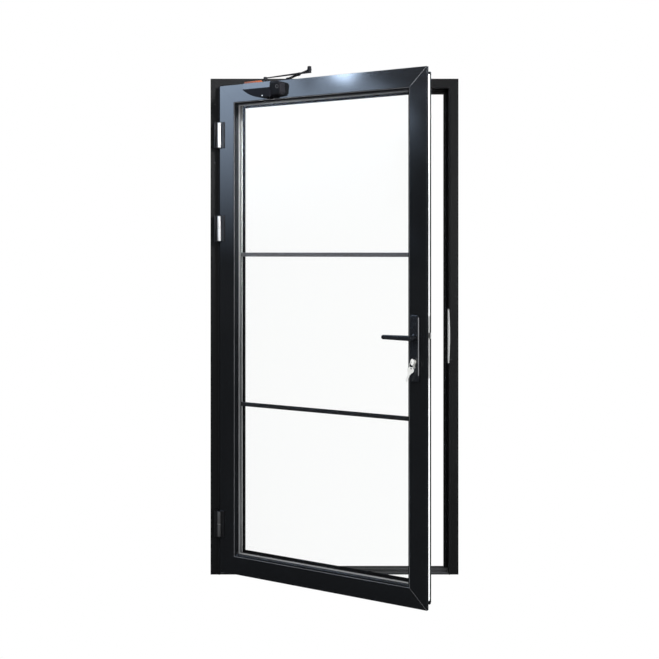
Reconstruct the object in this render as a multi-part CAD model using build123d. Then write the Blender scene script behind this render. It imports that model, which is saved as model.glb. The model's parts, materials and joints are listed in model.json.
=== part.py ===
from build123d import *
import os
from math import atan2, cos, degrees, hypot, radians, sin, sqrt

# A glazed swing door in its own aluminium frame: hollow mitred profiles, double glazing with two
# bars in its cavity, three barrel hinges, a lever lock with its keys, and an overhead closer.
# Millimetres. X runs along the opening, Y into the wall, Z up. The origin is the middle of the
# frame's underside. The leaf is drawn shut and then swung to the angle that it rests at.

# Frame
FRAME_WIDTH = 1050.0
FRAME_HEIGHT = 2100.0
FRAME_DEPTH = 70.0
FRAME_FACE = 42.0
STOP_RISE = 15.6
STOP_DEPTH = 22.0
PROFILE_WALL = 2.0
EDGE_ROUND = 0.8

# Leaf: a flange laps over the frame's face, and the body behind it goes into the rebate
LEAF_THICKNESS = 62.0
FLANGE_THICKNESS = 14.0
FLANGE_SETBACK = 13.0
FACE_LAP = 5.0
TOP_LAP = 7.0
FLOOR_GAP = 18.0
LAP_GAP = 4.0
OPEN_ANGLE = 31.7

# Leaf profile, inward from the flange's edge
GROOVE_DEPTH = 3.0
GROOVE_FRONT = 26.0
GROOVE_WIDTH = 24.0
REBATE_FLOOR = 66.0
FACE_BREAK = 72.0
SIGHT_LINE = 82.0
LEG_BEVEL = 6.0
LEG_BACK = 20.0
BEAD_SIGHT_LINE = 92.0
BEAD_BEVEL = 5.0

# Glazing
GLASS_EDGE_GAP = 4.0
PANE = 5.0
CAVITY = 14.0
OUTER_SEAL = 4.0
INNER_SEAL = 3.0
SPACER_INSET = 4.0
SPACER_WIDTH = 12.0
BAR_HEIGHT = 17.0
BAR_THICKNESS = 8.0
BAR_COUNT = 2
BLOCK_LENGTH = 100.0

# Threshold
SILL_FRONT_HEIGHT = 8.0
SILL_FRONT_DEPTH = 22.0
SILL_HEIGHT = 17.0
SILL_WALL = 2.5
SILL_RIB_PITCH = 9.0
SILL_RIB_CUT = 1.0

# Seals
FACE_SEAL_WIDTH = 7.0
STOP_SEAL_WIDTH = 9.0
SEAL_CLEAR = 0.4
SWEEP_CLEAR = 1.0
SWEEP_DEPTH = 12.0
SWEEP_HOLDER = 5.0

# Hinges
HINGE_INSET = 2.0
HINGE_PROUD = 8.0
HINGE_LENGTH = 109.0
HINGE_RADIUS = 7.0
HINGE_PIN_RADIUS = 4.0
HINGE_RISE = 221.0
HINGE_MIDDLE_DROP = 635.0
HINGE_TOP_DROP = 242.0
HINGE_NAMES = ("bottom", "middle", "top")
HINGE_SPLIT = 1.0
BUSH_THICKNESS = 0.8
FRAME_WING_WIDTH = 14.0
LEAF_WING_WIDTH = 13.5
LEAF_WING_THICKNESS = 5.0
WING_CLEAR = 1.5
FIT = 0.05

# Lock, at the free stile
LOCK_INSET = 49.0
LEVER_HEIGHT = 1043.0
CYLINDER_DROP = 91.0
CASE_THICKNESS = 16.0
CASE_TOP = 50.0
CASE_BOTTOM = 128.0
CASE_WALL = 1.5
FACEPLATE_LENGTH = 236.0
FACEPLATE_THICKNESS = 3.0
BOLT_THICKNESS = 12.0
LATCH_HEIGHT = 22.0
LATCH_RISE = 6.0
LATCH_REACH = 14.0
LATCH_HEAD = 24.0
LATCH_TAIL = 25.0
DEAD_BOLT_HEIGHT = 28.0
DEAD_BOLT_RISE = 7.0
DEAD_BOLT_THROW = 20.0
DEAD_BOLT_HEAD = 25.0
DEAD_BOLT_TAIL = 18.0
TAIL_HEIGHT = 6.0
BOLT_CLEAR = 0.3
CYLINDER_RADIUS = 8.5
CYLINDER_WEB = 10.0
CYLINDER_HEIGHT = 33.0
CYLINDER_PROUD = 1.5
PLUG_RADIUS = 5.4
SPINDLE_SIDE = 8.0
SPINDLE_BORE_RADIUS = 6.0
EDGE_STRIP_MARGIN = 24.0

# Handle
PLATE_WIDTH = 38.0
PLATE_LENGTH = 252.0
PLATE_THICKNESS = 9.0
PLATE_ROUND = 9.0
PLATE_TOP = 85.0
NECK_RADIUS = 8.5
LEVER_PROUD = 44.0
LEVER_THICKNESS = 11.0
LEVER_DEPTH = 20.0
LEVER_LENGTH = 130.0
BACK_LEVER_LENGTH = 94.0
LEVER_ROUND = 3.5

# Keys
KEY_THICKNESS = 2.2
KEY_BOW_RADIUS = 12.5
KEY_BOW_PROUD = 15.5
KEY_HOLE_RADIUS = 3.2
KEY_HOLE_OFFSET = 7.5
KEY_BLADE_HEIGHT = 7.6
KEY_BLADE_LENGTH = 32.0
RING_RADIUS = 10.0
RING_WIRE = 1.6
RING_TWIST = -15.0
SPARE_TWIST = -58.0
RING_SLACK = 1.2
SPARE_LEAN = 22.0

# Strike plate
STRIKE_LENGTH = 229.0
STRIKE_RISE = 6.0
STRIKE_THICKNESS = 1.5
STRIKE_LIP = 4.2
STRIKE_BOW = 2.0
STRIKE_LEG = 33.0
STRIKE_CLEAR = 1.0

# Wall fixings through the jambs
FIXING_HEIGHTS = (255.0, 1006.0, 1757.0)
FIXING_RADIUS = 4.25
FIXING_ACCESS_RADIUS = 5.0
FIXING_CAP_RADIUS = 6.2
FIXING_CAP_THICKNESS = 1.2
FIXING_DEPTH = 38.5

# Closer
CLOSER_START = 145.0
CLOSER_JOINT = 280.0
CLOSER_END = 330.0
CLOSER_TOP_GAP = 5.0
CLOSER_HEIGHT = 62.0
CLOSER_DEPTH = 40.0
CLOSER_FACET_HEIGHT = 25.0
CLOSER_FACET_DEPTH = 7.0
CLOSER_KEEL_DEPTH = 5.0
CLOSER_END_HEIGHT = 26.0
CLOSER_BOW_LENGTH = 80.0
CLOSER_ROUND = 3.0
CLOSER_CAP_INSET = 1.5
CLOSER_CAP_RISE = 2.5
CLOSER_CAP_LEAN = 9.0
CLOSER_CAP_CORNER = 15.0
CLOSER_CAP_ROUND = 9.0
VALVE_RADIUS = 2.4
VALVE_DEPTH = 3.0
VALVE_RISE = 6.0
VALVE_OFFSET = 8.0
SPINDLE_ALONG = 250.0
SPINDLE_OUT = 24.0
CLOSER_SPINDLE_RADIUS = 5.0
SPINDLE_SEAT = 18.0
MAIN_ARM_LENGTH = 180.0
FOREARM_LENGTH = 185.0
ARM_LIFT = 14.0
MAIN_ARM_RISE = 21.0
MAIN_ARM_THIN = 3.0
MAIN_ARM_THICKNESS = 6.0
MAIN_ARM_NARROW = 10.0
MAIN_ARM_WIDTH = 16.0
MAIN_HUB_RADIUS = 8.0
MAIN_HUB_HEIGHT = 11.0
ELBOW_CLEAR = 1.0
ARM_STEP = 3.0
FOREARM_THICKNESS = 8.0
FOREARM_EYE_RADIUS = 9.0
FOREARM_NECK = 12.0
SHOE_ARM_DROP = 9.0
ROD_RADIUS = 3.4
TUBE_RADIUS = 5.0
TUBE_SHARE = 0.55
TUBE_LAP = 25.0
ELBOW_KNOB_RADIUS = 8.0
ELBOW_KNOB_HEIGHT = 10.0
SHOE_ALONG = 329.0
SHOE_REACH = 25.0
SHOE_WIDTH = 62.0
SHOE_HEIGHT = 27.0
SHOE_PLATE = 4.0
SHOE_LUG = 5.0
SHOE_LUG_WIDTH = 20.0
SHOE_CLEAR = 0.5
SHOE_PIN_RADIUS = 4.0

# Corner cleats inside the profiles
CLEAT_LEG = 90.0
CLEAT_FIT = 0.5
CLEAT_WEB = 5.0

# Derived places
FRAME_HALF = FRAME_WIDTH / 2
FRAME_FRONT = -FRAME_DEPTH / 2
FRAME_BACK = FRAME_DEPTH / 2
WALL_X = FRAME_HALF - FRAME_FACE
HEAD_Z = FRAME_HEIGHT - FRAME_FACE
STOP_FRONT = FRAME_DEPTH - STOP_DEPTH
LEAF_HALF = WALL_X + FACE_LAP
LEAF_BOTTOM = FLOOR_GAP
LEAF_TOP = HEAD_Z + TOP_LAP
LEAF_HEIGHT = LEAF_TOP - LEAF_BOTTOM
LEAF_WIDTH = 2 * LEAF_HALF
LEAF_FRONT = FRAME_FRONT - LAP_GAP - FLANGE_THICKNESS
LEAF_BACK = LEAF_FRONT + LEAF_THICKNESS
BODY_EDGE = LEAF_HALF - FLANGE_SETBACK
GROOVE_FLOOR = FLANGE_SETBACK + GROOVE_DEPTH
GLASS_FRONT = LEG_BACK + OUTER_SEAL
GLASS_BACK = GLASS_FRONT + 2 * PANE + CAVITY
BEAD_FRONT = GLASS_BACK + INNER_SEAL
GLASS_EDGE = REBATE_FLOOR + GLASS_EDGE_GAP
SPACER_EDGE = GLASS_EDGE + SPACER_INSET
HINGE_X = -LEAF_HALF + HINGE_INSET
HINGE_Y = LEAF_FRONT - HINGE_PROUD
LOCK_X = LEAF_HALF - LOCK_INSET
LOCK_Y = LEAF_FRONT + GROOVE_FRONT + GROOVE_WIDTH / 2
CYLINDER_Z = LEVER_HEIGHT - CYLINDER_DROP
LATCH_Z = LEVER_HEIGHT + LATCH_RISE
DEAD_BOLT_Z = CYLINDER_Z + DEAD_BOLT_RISE
FACEPLATE_Z = (LATCH_Z + DEAD_BOLT_Z) / 2
CLOSER_TOP = LEAF_TOP - CLOSER_TOP_GAP
CLOSER_FRONT = LEAF_FRONT - CLOSER_DEPTH
MAIN_ARM_Z = CLOSER_TOP + ARM_LIFT
ELBOW_Z = MAIN_ARM_Z + MAIN_ARM_RISE + MAIN_ARM_THICKNESS + ARM_STEP
FOREARM_Z = FRAME_HEIGHT - SHOE_ARM_DROP
FOREARM_RISE = ELBOW_Z - FOREARM_Z
SHOE_X = SHOE_ALONG - FRAME_HALF
SHOE_Y = FRAME_FRONT - SHOE_REACH
SHOE_Z = HEAD_Z + (FRAME_FACE - SHOE_HEIGHT) * 0.8
HINGE_HEIGHTS = (HINGE_RISE, FRAME_HEIGHT - HINGE_MIDDLE_DROP, FRAME_HEIGHT - HINGE_TOP_DROP)
STRIKE_Z = FACEPLATE_Z + STRIKE_RISE


def block(x0, x1, y0, y1, z0, z1):
    """A box between two corners."""
    centre = ((x0 + x1) / 2, (y0 + y1) / 2, (z0 + z1) / 2)
    return Pos(*centre) * Box(abs(x1 - x0), abs(y1 - y0), abs(z1 - z0))


def rod(radius, x, y, z0, z1):
    """An upright cylinder between two heights."""
    return Pos(x, y, (z0 + z1) / 2) * Cylinder(radius, abs(z1 - z0))


def cross_rod(radius, x, z, y0, y1):
    """A cylinder that runs through the thickness of the door."""
    return Pos(x, (y0 + y1) / 2, z) * Rot(90, 0, 0) * Cylinder(radius, abs(y1 - y0))


def side_rod(radius, y, z, x0, x1):
    """A cylinder that runs along the width of the door."""
    return Pos((x0 + x1) / 2, y, z) * Rot(0, 90, 0) * Cylinder(radius, abs(x1 - x0))


def polygon(points):
    """A flat face inside a closed outline."""
    return make_face(Polyline(*points, close=True)).face()


def round_corners(face, corners, radius):
    """Round the named corners of a flat face."""
    picked = [
        vertex
        for vertex in face.vertices()
        if any(hypot(vertex.X - x, vertex.Y - y) < 0.01 for x, y in corners)
    ]
    return face.fillet_2d(radius, picked)


def member(profile, corner, inward, length, reach, start=True, end=True):
    """Run a profile along one side of a rectangle and mitre its ends.

    The profile's x is the way inward and its y is the way into the wall. The corner is the
    outer front corner that the side starts from, and reach is the widest that the profile is.
    """
    bar = extrude(profile, length)
    near = reach if start else 0
    far = length - (reach if end else 0)
    outline = polygon([(0, 0), (reach, near), (reach, far), (0, length)])
    wedge = Pos(0, -FRAME_DEPTH, 0) * extrude(Plane.XZ * outline, -3 * FRAME_DEPTH)
    along = Vector(*inward).cross(Vector(0, 1, 0))
    place = Plane(origin=corner, x_dir=inward, z_dir=along)
    return place.location * (bar & wedge)


def swing_open(shape):
    """Turn a shape of the shut leaf to the angle that the leaf rests at."""
    return shape.rotate(Axis((HINGE_X, HINGE_Y, 0), (0, 0, 1)), -OPEN_ANGLE)


def on_leaf(inset, depth):
    """A place on the shut leaf, from its hinge and into its thickness."""
    return HINGE_X + inset, LEAF_FRONT + depth


# Frame


def frame_profile():
    """The jamb and head section: a box with a stop along its back."""
    stop = FRAME_FACE + STOP_RISE
    outer = polygon(
        [
            (0, 0),
            (FRAME_FACE, 0),
            (FRAME_FACE, STOP_FRONT),
            (stop, STOP_FRONT),
            (stop, FRAME_DEPTH),
            (0, FRAME_DEPTH),
        ]
    )
    outer = round_corners(
        outer, [(0, 0), (FRAME_FACE, 0), (stop, STOP_FRONT), (stop, FRAME_DEPTH)], EDGE_ROUND
    )
    front_room = polygon(
        [
            (PROFILE_WALL, PROFILE_WALL),
            (FRAME_FACE - PROFILE_WALL, PROFILE_WALL),
            (FRAME_FACE - PROFILE_WALL, STOP_FRONT),
            (PROFILE_WALL, STOP_FRONT),
        ]
    )
    back_room = polygon(
        [
            (PROFILE_WALL, STOP_FRONT + PROFILE_WALL),
            (stop - PROFILE_WALL, STOP_FRONT + PROFILE_WALL),
            (stop - PROFILE_WALL, FRAME_DEPTH - PROFILE_WALL),
            (PROFILE_WALL, FRAME_DEPTH - PROFILE_WALL),
        ]
    )
    return outer - front_room - back_room


def jamb(side):
    """One jamb, drilled for its wall fixings. Side is -1 at the hinges and 1 at the lock."""
    reach = FRAME_FACE + STOP_RISE
    if side < 0:
        corner = (-FRAME_HALF, FRAME_FRONT, 0)
        post = member(frame_profile(), corner, (1, 0, 0), FRAME_HEIGHT, reach, start=False)
    else:
        corner = (FRAME_HALF, FRAME_FRONT, FRAME_HEIGHT)
        post = member(frame_profile(), corner, (-1, 0, 0), FRAME_HEIGHT, reach, end=False)
    stop_edge = WALL_X - STOP_RISE
    foot = block(
        side * (stop_edge - 1),
        side * WALL_X,
        FRAME_FRONT + STOP_FRONT - 1,
        FRAME_BACK + 1,
        -1,
        SILL_HEIGHT,
    )
    post -= foot
    for height in FIXING_HEIGHTS:
        wall = side * (FRAME_HALF - PROFILE_WALL / 2)
        hole_y = FRAME_FRONT + FIXING_DEPTH
        post -= side_rod(FIXING_RADIUS, hole_y, height, wall - 2, wall + 2)
        access = side * (WALL_X + PROFILE_WALL / 2)
        post -= side_rod(FIXING_ACCESS_RADIUS, hole_y, height, access - 2, access + 2)
    return post


def lock_jamb():
    """The jamb on the lock side, with pockets for the latch and the dead bolt."""
    post = jamb(1)
    for height, tall in bolt_windows():
        post -= block(
            WALL_X - 1,
            WALL_X + PROFILE_WALL + 1,
            LOCK_Y - BOLT_THICKNESS / 2 - STRIKE_CLEAR,
            LOCK_Y + BOLT_THICKNESS / 2 + STRIKE_CLEAR,
            height - tall / 2 - STRIKE_CLEAR,
            height + tall / 2 + STRIKE_CLEAR,
        )
    return post


def bolt_windows():
    """Height and tallness of the latch and the dead bolt."""
    return ((LATCH_Z, LATCH_HEIGHT), (DEAD_BOLT_Z, DEAD_BOLT_HEIGHT))


def head():
    """The head of the frame, mitred to both jambs."""
    corner = (-FRAME_HALF, FRAME_FRONT, FRAME_HEIGHT)
    return member(frame_profile(), corner, (0, 0, -1), FRAME_WIDTH, FRAME_FACE + STOP_RISE)


def threshold():
    """The low threshold between the jambs: a front nose, a gutter and a ribbed upstand."""
    nose = polygon(
        [
            (0, 0),
            (0, SILL_FRONT_HEIGHT - 2.5),
            (2.5, SILL_FRONT_HEIGHT),
            (SILL_FRONT_DEPTH - 3, SILL_FRONT_HEIGHT),
            (SILL_FRONT_DEPTH - 3, SILL_FRONT_HEIGHT - 2),
            (SILL_FRONT_DEPTH, SILL_FRONT_HEIGHT - 2),
            (SILL_FRONT_DEPTH + 2, SILL_HEIGHT),
            (FRAME_DEPTH, SILL_HEIGHT),
            (FRAME_DEPTH, 0),
        ]
    )
    middle = (SILL_FRONT_DEPTH + 2 + FRAME_DEPTH) / 2
    rooms = (
        (SILL_WALL, SILL_FRONT_DEPTH - 3, SILL_FRONT_HEIGHT - 2 - SILL_WALL),
        (SILL_FRONT_DEPTH + 2 + SILL_WALL, middle - SILL_WALL / 2, SILL_HEIGHT - SILL_WALL),
        (middle + SILL_WALL / 2, FRAME_DEPTH - SILL_WALL, SILL_HEIGHT - SILL_WALL),
    )
    for start, stop, top in rooms:
        nose -= polygon([(start, SILL_WALL), (stop, SILL_WALL), (stop, top), (start, top)])
    rib = SILL_FRONT_DEPTH + 2 + SILL_RIB_PITCH
    while rib < FRAME_DEPTH - SILL_RIB_PITCH / 2:
        cut = [
            (rib, SILL_HEIGHT - SILL_RIB_CUT),
            (rib + 2, SILL_HEIGHT - SILL_RIB_CUT),
            (rib + 2, SILL_HEIGHT + 1),
            (rib, SILL_HEIGHT + 1),
        ]
        nose -= polygon(cut)
        rib += SILL_RIB_PITCH
    place = Plane(origin=(-WALL_X, FRAME_FRONT, 0), x_dir=(0, 1, 0), z_dir=(1, 0, 0))
    return place.location * extrude(nose, 2 * WALL_X)


def three_sides(section, reach):
    """A seal run up one jamb, across the head and down the other jamb, in one piece."""
    left = member(
        section, (-FRAME_HALF, FRAME_FRONT, 0), (1, 0, 0), FRAME_HEIGHT, reach, start=False
    )
    right = member(
        section,
        (FRAME_HALF, FRAME_FRONT, FRAME_HEIGHT),
        (-1, 0, 0),
        FRAME_HEIGHT,
        reach,
        end=False,
    )
    top = member(
        section, (-FRAME_HALF, FRAME_FRONT, FRAME_HEIGHT), (0, 0, -1), FRAME_WIDTH, reach
    )
    return left + top + right


def face_seal():
    """The seal on the frame's face that the leaf's flange closes on."""
    start = FRAME_FACE - EDGE_ROUND - FACE_SEAL_WIDTH
    tall = LAP_GAP - SEAL_CLEAR
    section = make_face(
        Polyline((start + FACE_SEAL_WIDTH, -1), (start + FACE_SEAL_WIDTH, 0), (start, 0), (start, -1))
        + ThreePointArc(
            (start, -1), (start + FACE_SEAL_WIDTH / 2, -tall), (start + FACE_SEAL_WIDTH, -1)
        )
    ).face()
    seal = three_sides(section, FRAME_FACE)
    gap = block(
        WALL_X - 1,
        WALL_X + FACE_SEAL_WIDTH + 2,
        FRAME_FRONT - LAP_GAP,
        FRAME_FRONT + 1,
        STRIKE_Z - STRIKE_LENGTH / 2 - STRIKE_CLEAR,
        STRIKE_Z + STRIKE_LENGTH / 2 + STRIKE_CLEAR,
    )
    return seal - gap


def stop_seal():
    """The seal on the front of the stop that the leaf's back closes on."""
    gap = FRAME_FRONT + STOP_FRONT - LEAF_BACK - SEAL_CLEAR
    start = FRAME_FACE + 2
    section = make_face(
        Polyline(
            (start, STOP_FRONT - 1),
            (start, STOP_FRONT),
            (start + STOP_SEAL_WIDTH, STOP_FRONT),
            (start + STOP_SEAL_WIDTH, STOP_FRONT - 1),
        )
        + ThreePointArc(
            (start + STOP_SEAL_WIDTH, STOP_FRONT - 1),
            (start + STOP_SEAL_WIDTH / 2, STOP_FRONT - gap),
            (start, STOP_FRONT - 1),
        )
    ).face()
    seal = three_sides(section, start + STOP_SEAL_WIDTH)
    foot = block(
        -FRAME_HALF, FRAME_HALF, FRAME_FRONT, FRAME_BACK + 1, -1, SILL_HEIGHT + CLEAT_FIT
    )
    return seal - foot


def cleat(room_start, room_stop):
    """A flat corner angle that fills a profile's chamber at a mitre, lightened by windows."""
    near = room_start + CLEAT_FIT
    far = room_stop - CLEAT_FIT
    leg = near + CLEAT_LEG
    angle = polygon([(near, near), (leg, near), (leg, far), (far, far), (far, leg), (near, leg)])
    low = near + CLEAT_WEB
    high = far - CLEAT_WEB
    angle -= polygon([(far + 3, low), (leg - 6, low), (leg - 6, high), (far + 3, high)])
    angle -= polygon([(low, far + 3), (high, far + 3), (high, leg - 6), (low, leg - 6)])
    return angle


def place_cleat(face, x, z, turn_x, turn_z, y0, y1):
    """Set a corner angle in a corner, with its legs along turn_x and turn_z."""
    plane = Plane(origin=(x, y0, z), x_dir=(turn_x, 0, 0), z_dir=(0, -turn_x * turn_z, 0))
    body = extrude(plane * face, (y1 - y0) * -turn_x * turn_z)
    return body


def frame_cleats():
    """Two corner angles in the front chamber of the frame's top corners."""
    face = cleat(PROFILE_WALL, FRAME_FACE - PROFILE_WALL)
    y0 = FRAME_FRONT + PROFILE_WALL + CLEAT_FIT
    y1 = FRAME_FRONT + STOP_FRONT - CLEAT_FIT
    left = place_cleat(face, -FRAME_HALF, FRAME_HEIGHT, 1, -1, y0, y1)
    right = place_cleat(face, FRAME_HALF, FRAME_HEIGHT, -1, -1, y0, y1)
    return Compound(children=[left, right])


def strike_plate():
    """The angled strike on the lock jamb: a leg with two windows and a lip over the face."""
    low = STRIKE_Z - STRIKE_LENGTH / 2
    high = STRIKE_Z + STRIKE_LENGTH / 2
    front = FRAME_FRONT - STRIKE_THICKNESS
    leg = block(WALL_X - STRIKE_THICKNESS, WALL_X, front, front + STRIKE_LEG, low, high)
    corners = leg.edges().filter_by(Axis.X).sort_by(Axis.Y)[-2:]
    leg = fillet(corners, 8)
    tip = STRIKE_LIP - 2
    outline = make_face(
        Polyline(
            (WALL_X + tip, high - 2),
            (WALL_X + tip - 1, high),
            (WALL_X, high),
            (WALL_X, low),
            (WALL_X + tip - 1, low),
            (WALL_X + tip, low + 2),
        )
        + ThreePointArc(
            (WALL_X + tip, low + 2),
            (WALL_X + STRIKE_LIP + STRIKE_BOW, STRIKE_Z),
            (WALL_X + tip, high - 2),
        )
    )
    lip = extrude(Plane.XZ.offset(-front) * outline, -STRIKE_THICKNESS)
    plate = leg + lip
    bend = [
        edge
        for edge in plate.edges().filter_by(Axis.Z)
        if abs(edge.center().X - WALL_X + STRIKE_THICKNESS) < 0.01
        and abs(edge.center().Y - front) < 0.01
    ]
    plate = fillet(bend, 1.2)
    for height, tall in bolt_windows():
        plate -= block(
            WALL_X - STRIKE_THICKNESS - 1,
            WALL_X + 1,
            LOCK_Y - BOLT_THICKNESS / 2 - BOLT_CLEAR,
            LOCK_Y + BOLT_THICKNESS / 2 + BOLT_CLEAR,
            height - tall / 2 - BOLT_CLEAR,
            height + tall / 2 + BOLT_CLEAR,
        )
    return plate


def fixing_caps():
    """The six caps over the access holes of the wall fixings."""
    caps = []
    hole_y = FRAME_FRONT + FIXING_DEPTH
    for side in (-1, 1):
        for height in FIXING_HEIGHTS:
            face = side * WALL_X
            head_disc = side_rod(
                FIXING_CAP_RADIUS, hole_y, height, face, face - side * FIXING_CAP_THICKNESS
            )
            stem = side_rod(
                FIXING_ACCESS_RADIUS - FIT, hole_y, height, face, face + side * PROFILE_WALL
            )
            caps.append(head_disc + stem)
    return Compound(children=caps)


# Hinges


def hinge_frame_part(height):
    """The frame's half of a hinge: a block on the jamb's face with the lower knuckle."""
    low = height - HINGE_LENGTH / 2
    high = height + HINGE_LENGTH / 2
    split = height - HINGE_SPLIT / 2
    inner = HINGE_X - HINGE_RADIUS
    wing = block(inner - FRAME_WING_WIDTH, inner, HINGE_Y + 2, FRAME_FRONT, low, high)
    long_edges = wing.edges().filter_by(Axis.Z).sort_by(Axis.Y)[:2]
    wing = fillet(long_edges, 3)
    web = block(inner - 4, HINGE_X, HINGE_Y - 4, LEAF_FRONT - 2, low, split)
    knuckle = rod(HINGE_RADIUS, HINGE_X, HINGE_Y, low, split)
    knuckle = fillet(knuckle.edges().sort_by(Axis.Z)[0], 2.5)
    part = wing + web + knuckle
    return part - rod(HINGE_PIN_RADIUS + FIT, HINGE_X, HINGE_Y, low + 6, split + 1)


def hinge_leaf_part(height):
    """The leaf's half of a hinge: a wing on the leaf's face with the upper knuckle."""
    low = height - HINGE_LENGTH / 2
    high = height + HINGE_LENGTH / 2
    split = height + HINGE_SPLIT / 2
    start = HINGE_X + HINGE_RADIUS + WING_CLEAR
    wing = block(
        start, start + LEAF_WING_WIDTH, LEAF_FRONT - LEAF_WING_THICKNESS, LEAF_FRONT, low, high
    )
    wing = fillet(wing.edges().filter_by(Axis.Z).sort_by(Axis.Y)[:2], 1.5)
    web = block(
        HINGE_X, start + 3, LEAF_FRONT - LEAF_WING_THICKNESS - 2, LEAF_FRONT - 1, split, high
    )
    knuckle = rod(HINGE_RADIUS, HINGE_X, HINGE_Y, split, high)
    knuckle = fillet(knuckle.edges().sort_by(Axis.Z)[-1], 2.5)
    part = wing + web + knuckle
    return part - rod(HINGE_PIN_RADIUS + FIT, HINGE_X, HINGE_Y, split - 1, high - 6)


def hinge_pins():
    """The three hinge pins, held in the frame's knuckles."""
    reach = HINGE_LENGTH / 2 - 6.5
    return Compound(
        children=[
            rod(HINGE_PIN_RADIUS, HINGE_X, HINGE_Y, height - reach, height + reach)
            for height in HINGE_HEIGHTS
        ]
    )


def hinge_bushes():
    """The three thrust washers between the knuckles."""
    washers = []
    for height in HINGE_HEIGHTS:
        low = height - HINGE_SPLIT / 2
        disc = rod(HINGE_RADIUS - 0.5, HINGE_X, HINGE_Y, low, low + BUSH_THICKNESS)
        washers.append(
            disc - rod(HINGE_PIN_RADIUS + FIT, HINGE_X, HINGE_Y, low - 1, low + 2 * HINGE_SPLIT)
        )
    return Compound(children=washers)


# Leaf


def leaf_profile():
    """The stile and rail section: flange, chambered body, edge groove and glazing leg."""
    outer = polygon(
        [
            (0, 0),
            (0, FLANGE_THICKNESS),
            (FLANGE_SETBACK, FLANGE_THICKNESS),
            (FLANGE_SETBACK, GROOVE_FRONT),
            (GROOVE_FLOOR, GROOVE_FRONT),
            (GROOVE_FLOOR, GROOVE_FRONT + GROOVE_WIDTH),
            (FLANGE_SETBACK, GROOVE_FRONT + GROOVE_WIDTH),
            (FLANGE_SETBACK, LEAF_THICKNESS),
            (REBATE_FLOOR, LEAF_THICKNESS),
            (REBATE_FLOOR, LEG_BACK),
            (SIGHT_LINE, LEG_BACK),
            (SIGHT_LINE, LEG_BEVEL),
            (FACE_BREAK, 0),
        ]
    )
    outer = round_corners(
        outer,
        [
            (0, 0),
            (0, FLANGE_THICKNESS),
            (FLANGE_SETBACK, LEAF_THICKNESS),
            (SIGHT_LINE, LEG_BEVEL),
            (FACE_BREAK, 0),
        ],
        EDGE_ROUND,
    )
    web = FLANGE_THICKNESS - PROFILE_WALL
    room_front = FLANGE_THICKNESS
    room_back = LEAF_THICKNESS - PROFILE_WALL
    room_edge = GROOVE_FLOOR + PROFILE_WALL
    room_end = REBATE_FLOOR - PROFILE_WALL
    face_room = polygon(
        [
            (PROFILE_WALL, PROFILE_WALL),
            (room_end, PROFILE_WALL),
            (room_end, web),
            (PROFILE_WALL, web),
        ]
    )
    body_room = polygon(
        [
            (room_edge, room_front),
            (room_end, room_front),
            (room_end, room_back),
            (room_edge, room_back),
        ]
    )
    leg_room = polygon(
        [
            (REBATE_FLOOR, PROFILE_WALL + 1),
            (FACE_BREAK, PROFILE_WALL + 1),
            (SIGHT_LINE - PROFILE_WALL, LEG_BEVEL + PROFILE_WALL),
            (SIGHT_LINE - PROFILE_WALL, LEG_BACK - PROFILE_WALL),
            (REBATE_FLOOR, LEG_BACK - PROFILE_WALL),
        ]
    )
    return outer - face_room - body_room - leg_room


def bead_profile():
    """The snap-in bead that holds the glass from the back."""
    outer = polygon(
        [
            (REBATE_FLOOR, BEAD_FRONT),
            (BEAD_SIGHT_LINE, BEAD_FRONT),
            (BEAD_SIGHT_LINE, LEAF_THICKNESS - BEAD_BEVEL),
            (BEAD_SIGHT_LINE - BEAD_BEVEL, LEAF_THICKNESS),
            (REBATE_FLOOR, LEAF_THICKNESS),
        ]
    )
    wall = PROFILE_WALL
    room = polygon(
        [
            (REBATE_FLOOR + wall, BEAD_FRONT + wall),
            (BEAD_SIGHT_LINE - wall - 1, BEAD_FRONT + wall),
            (BEAD_SIGHT_LINE - wall - 1, LEAF_THICKNESS - BEAD_BEVEL - wall / 2),
            (BEAD_SIGHT_LINE - BEAD_BEVEL - wall, LEAF_THICKNESS - wall),
            (REBATE_FLOOR + wall, LEAF_THICKNESS - wall),
        ]
    )
    return outer - room


def leaf_side(profile, reach, side):
    """One side of the leaf, in place: hinge, lock, top or bottom."""
    if side == "hinge":
        corner = (-LEAF_HALF, LEAF_FRONT, LEAF_BOTTOM)
        return member(profile, corner, (1, 0, 0), LEAF_HEIGHT, reach)
    if side == "lock":
        corner = (LEAF_HALF, LEAF_FRONT, LEAF_TOP)
        return member(profile, corner, (-1, 0, 0), LEAF_HEIGHT, reach)
    if side == "top":
        corner = (-LEAF_HALF, LEAF_FRONT, LEAF_TOP)
        return member(profile, corner, (0, 0, -1), LEAF_WIDTH, reach)
    corner = (LEAF_HALF, LEAF_FRONT, LEAF_BOTTOM)
    return member(profile, corner, (0, 0, 1), LEAF_WIDTH, reach)


def cylinder_outline(spare):
    """The profile cylinder's section, grown by spare, about the middle of its round."""
    round_part = Circle(CYLINDER_RADIUS + spare)
    tail_end = CYLINDER_HEIGHT - CYLINDER_RADIUS + spare
    tail = Pos(0, -tail_end / 2) * Rectangle(CYLINDER_WEB + 2 * spare, tail_end)
    return round_part + tail


def through_leaf(outline, x, z, y0, y1):
    """Run a flat outline through the leaf's thickness from y0 back to y1."""
    plane = Plane(origin=(x, y1, z), x_dir=(1, 0, 0), z_dir=(0, -1, 0))
    return extrude(plane * outline, y1 - y0)


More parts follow.
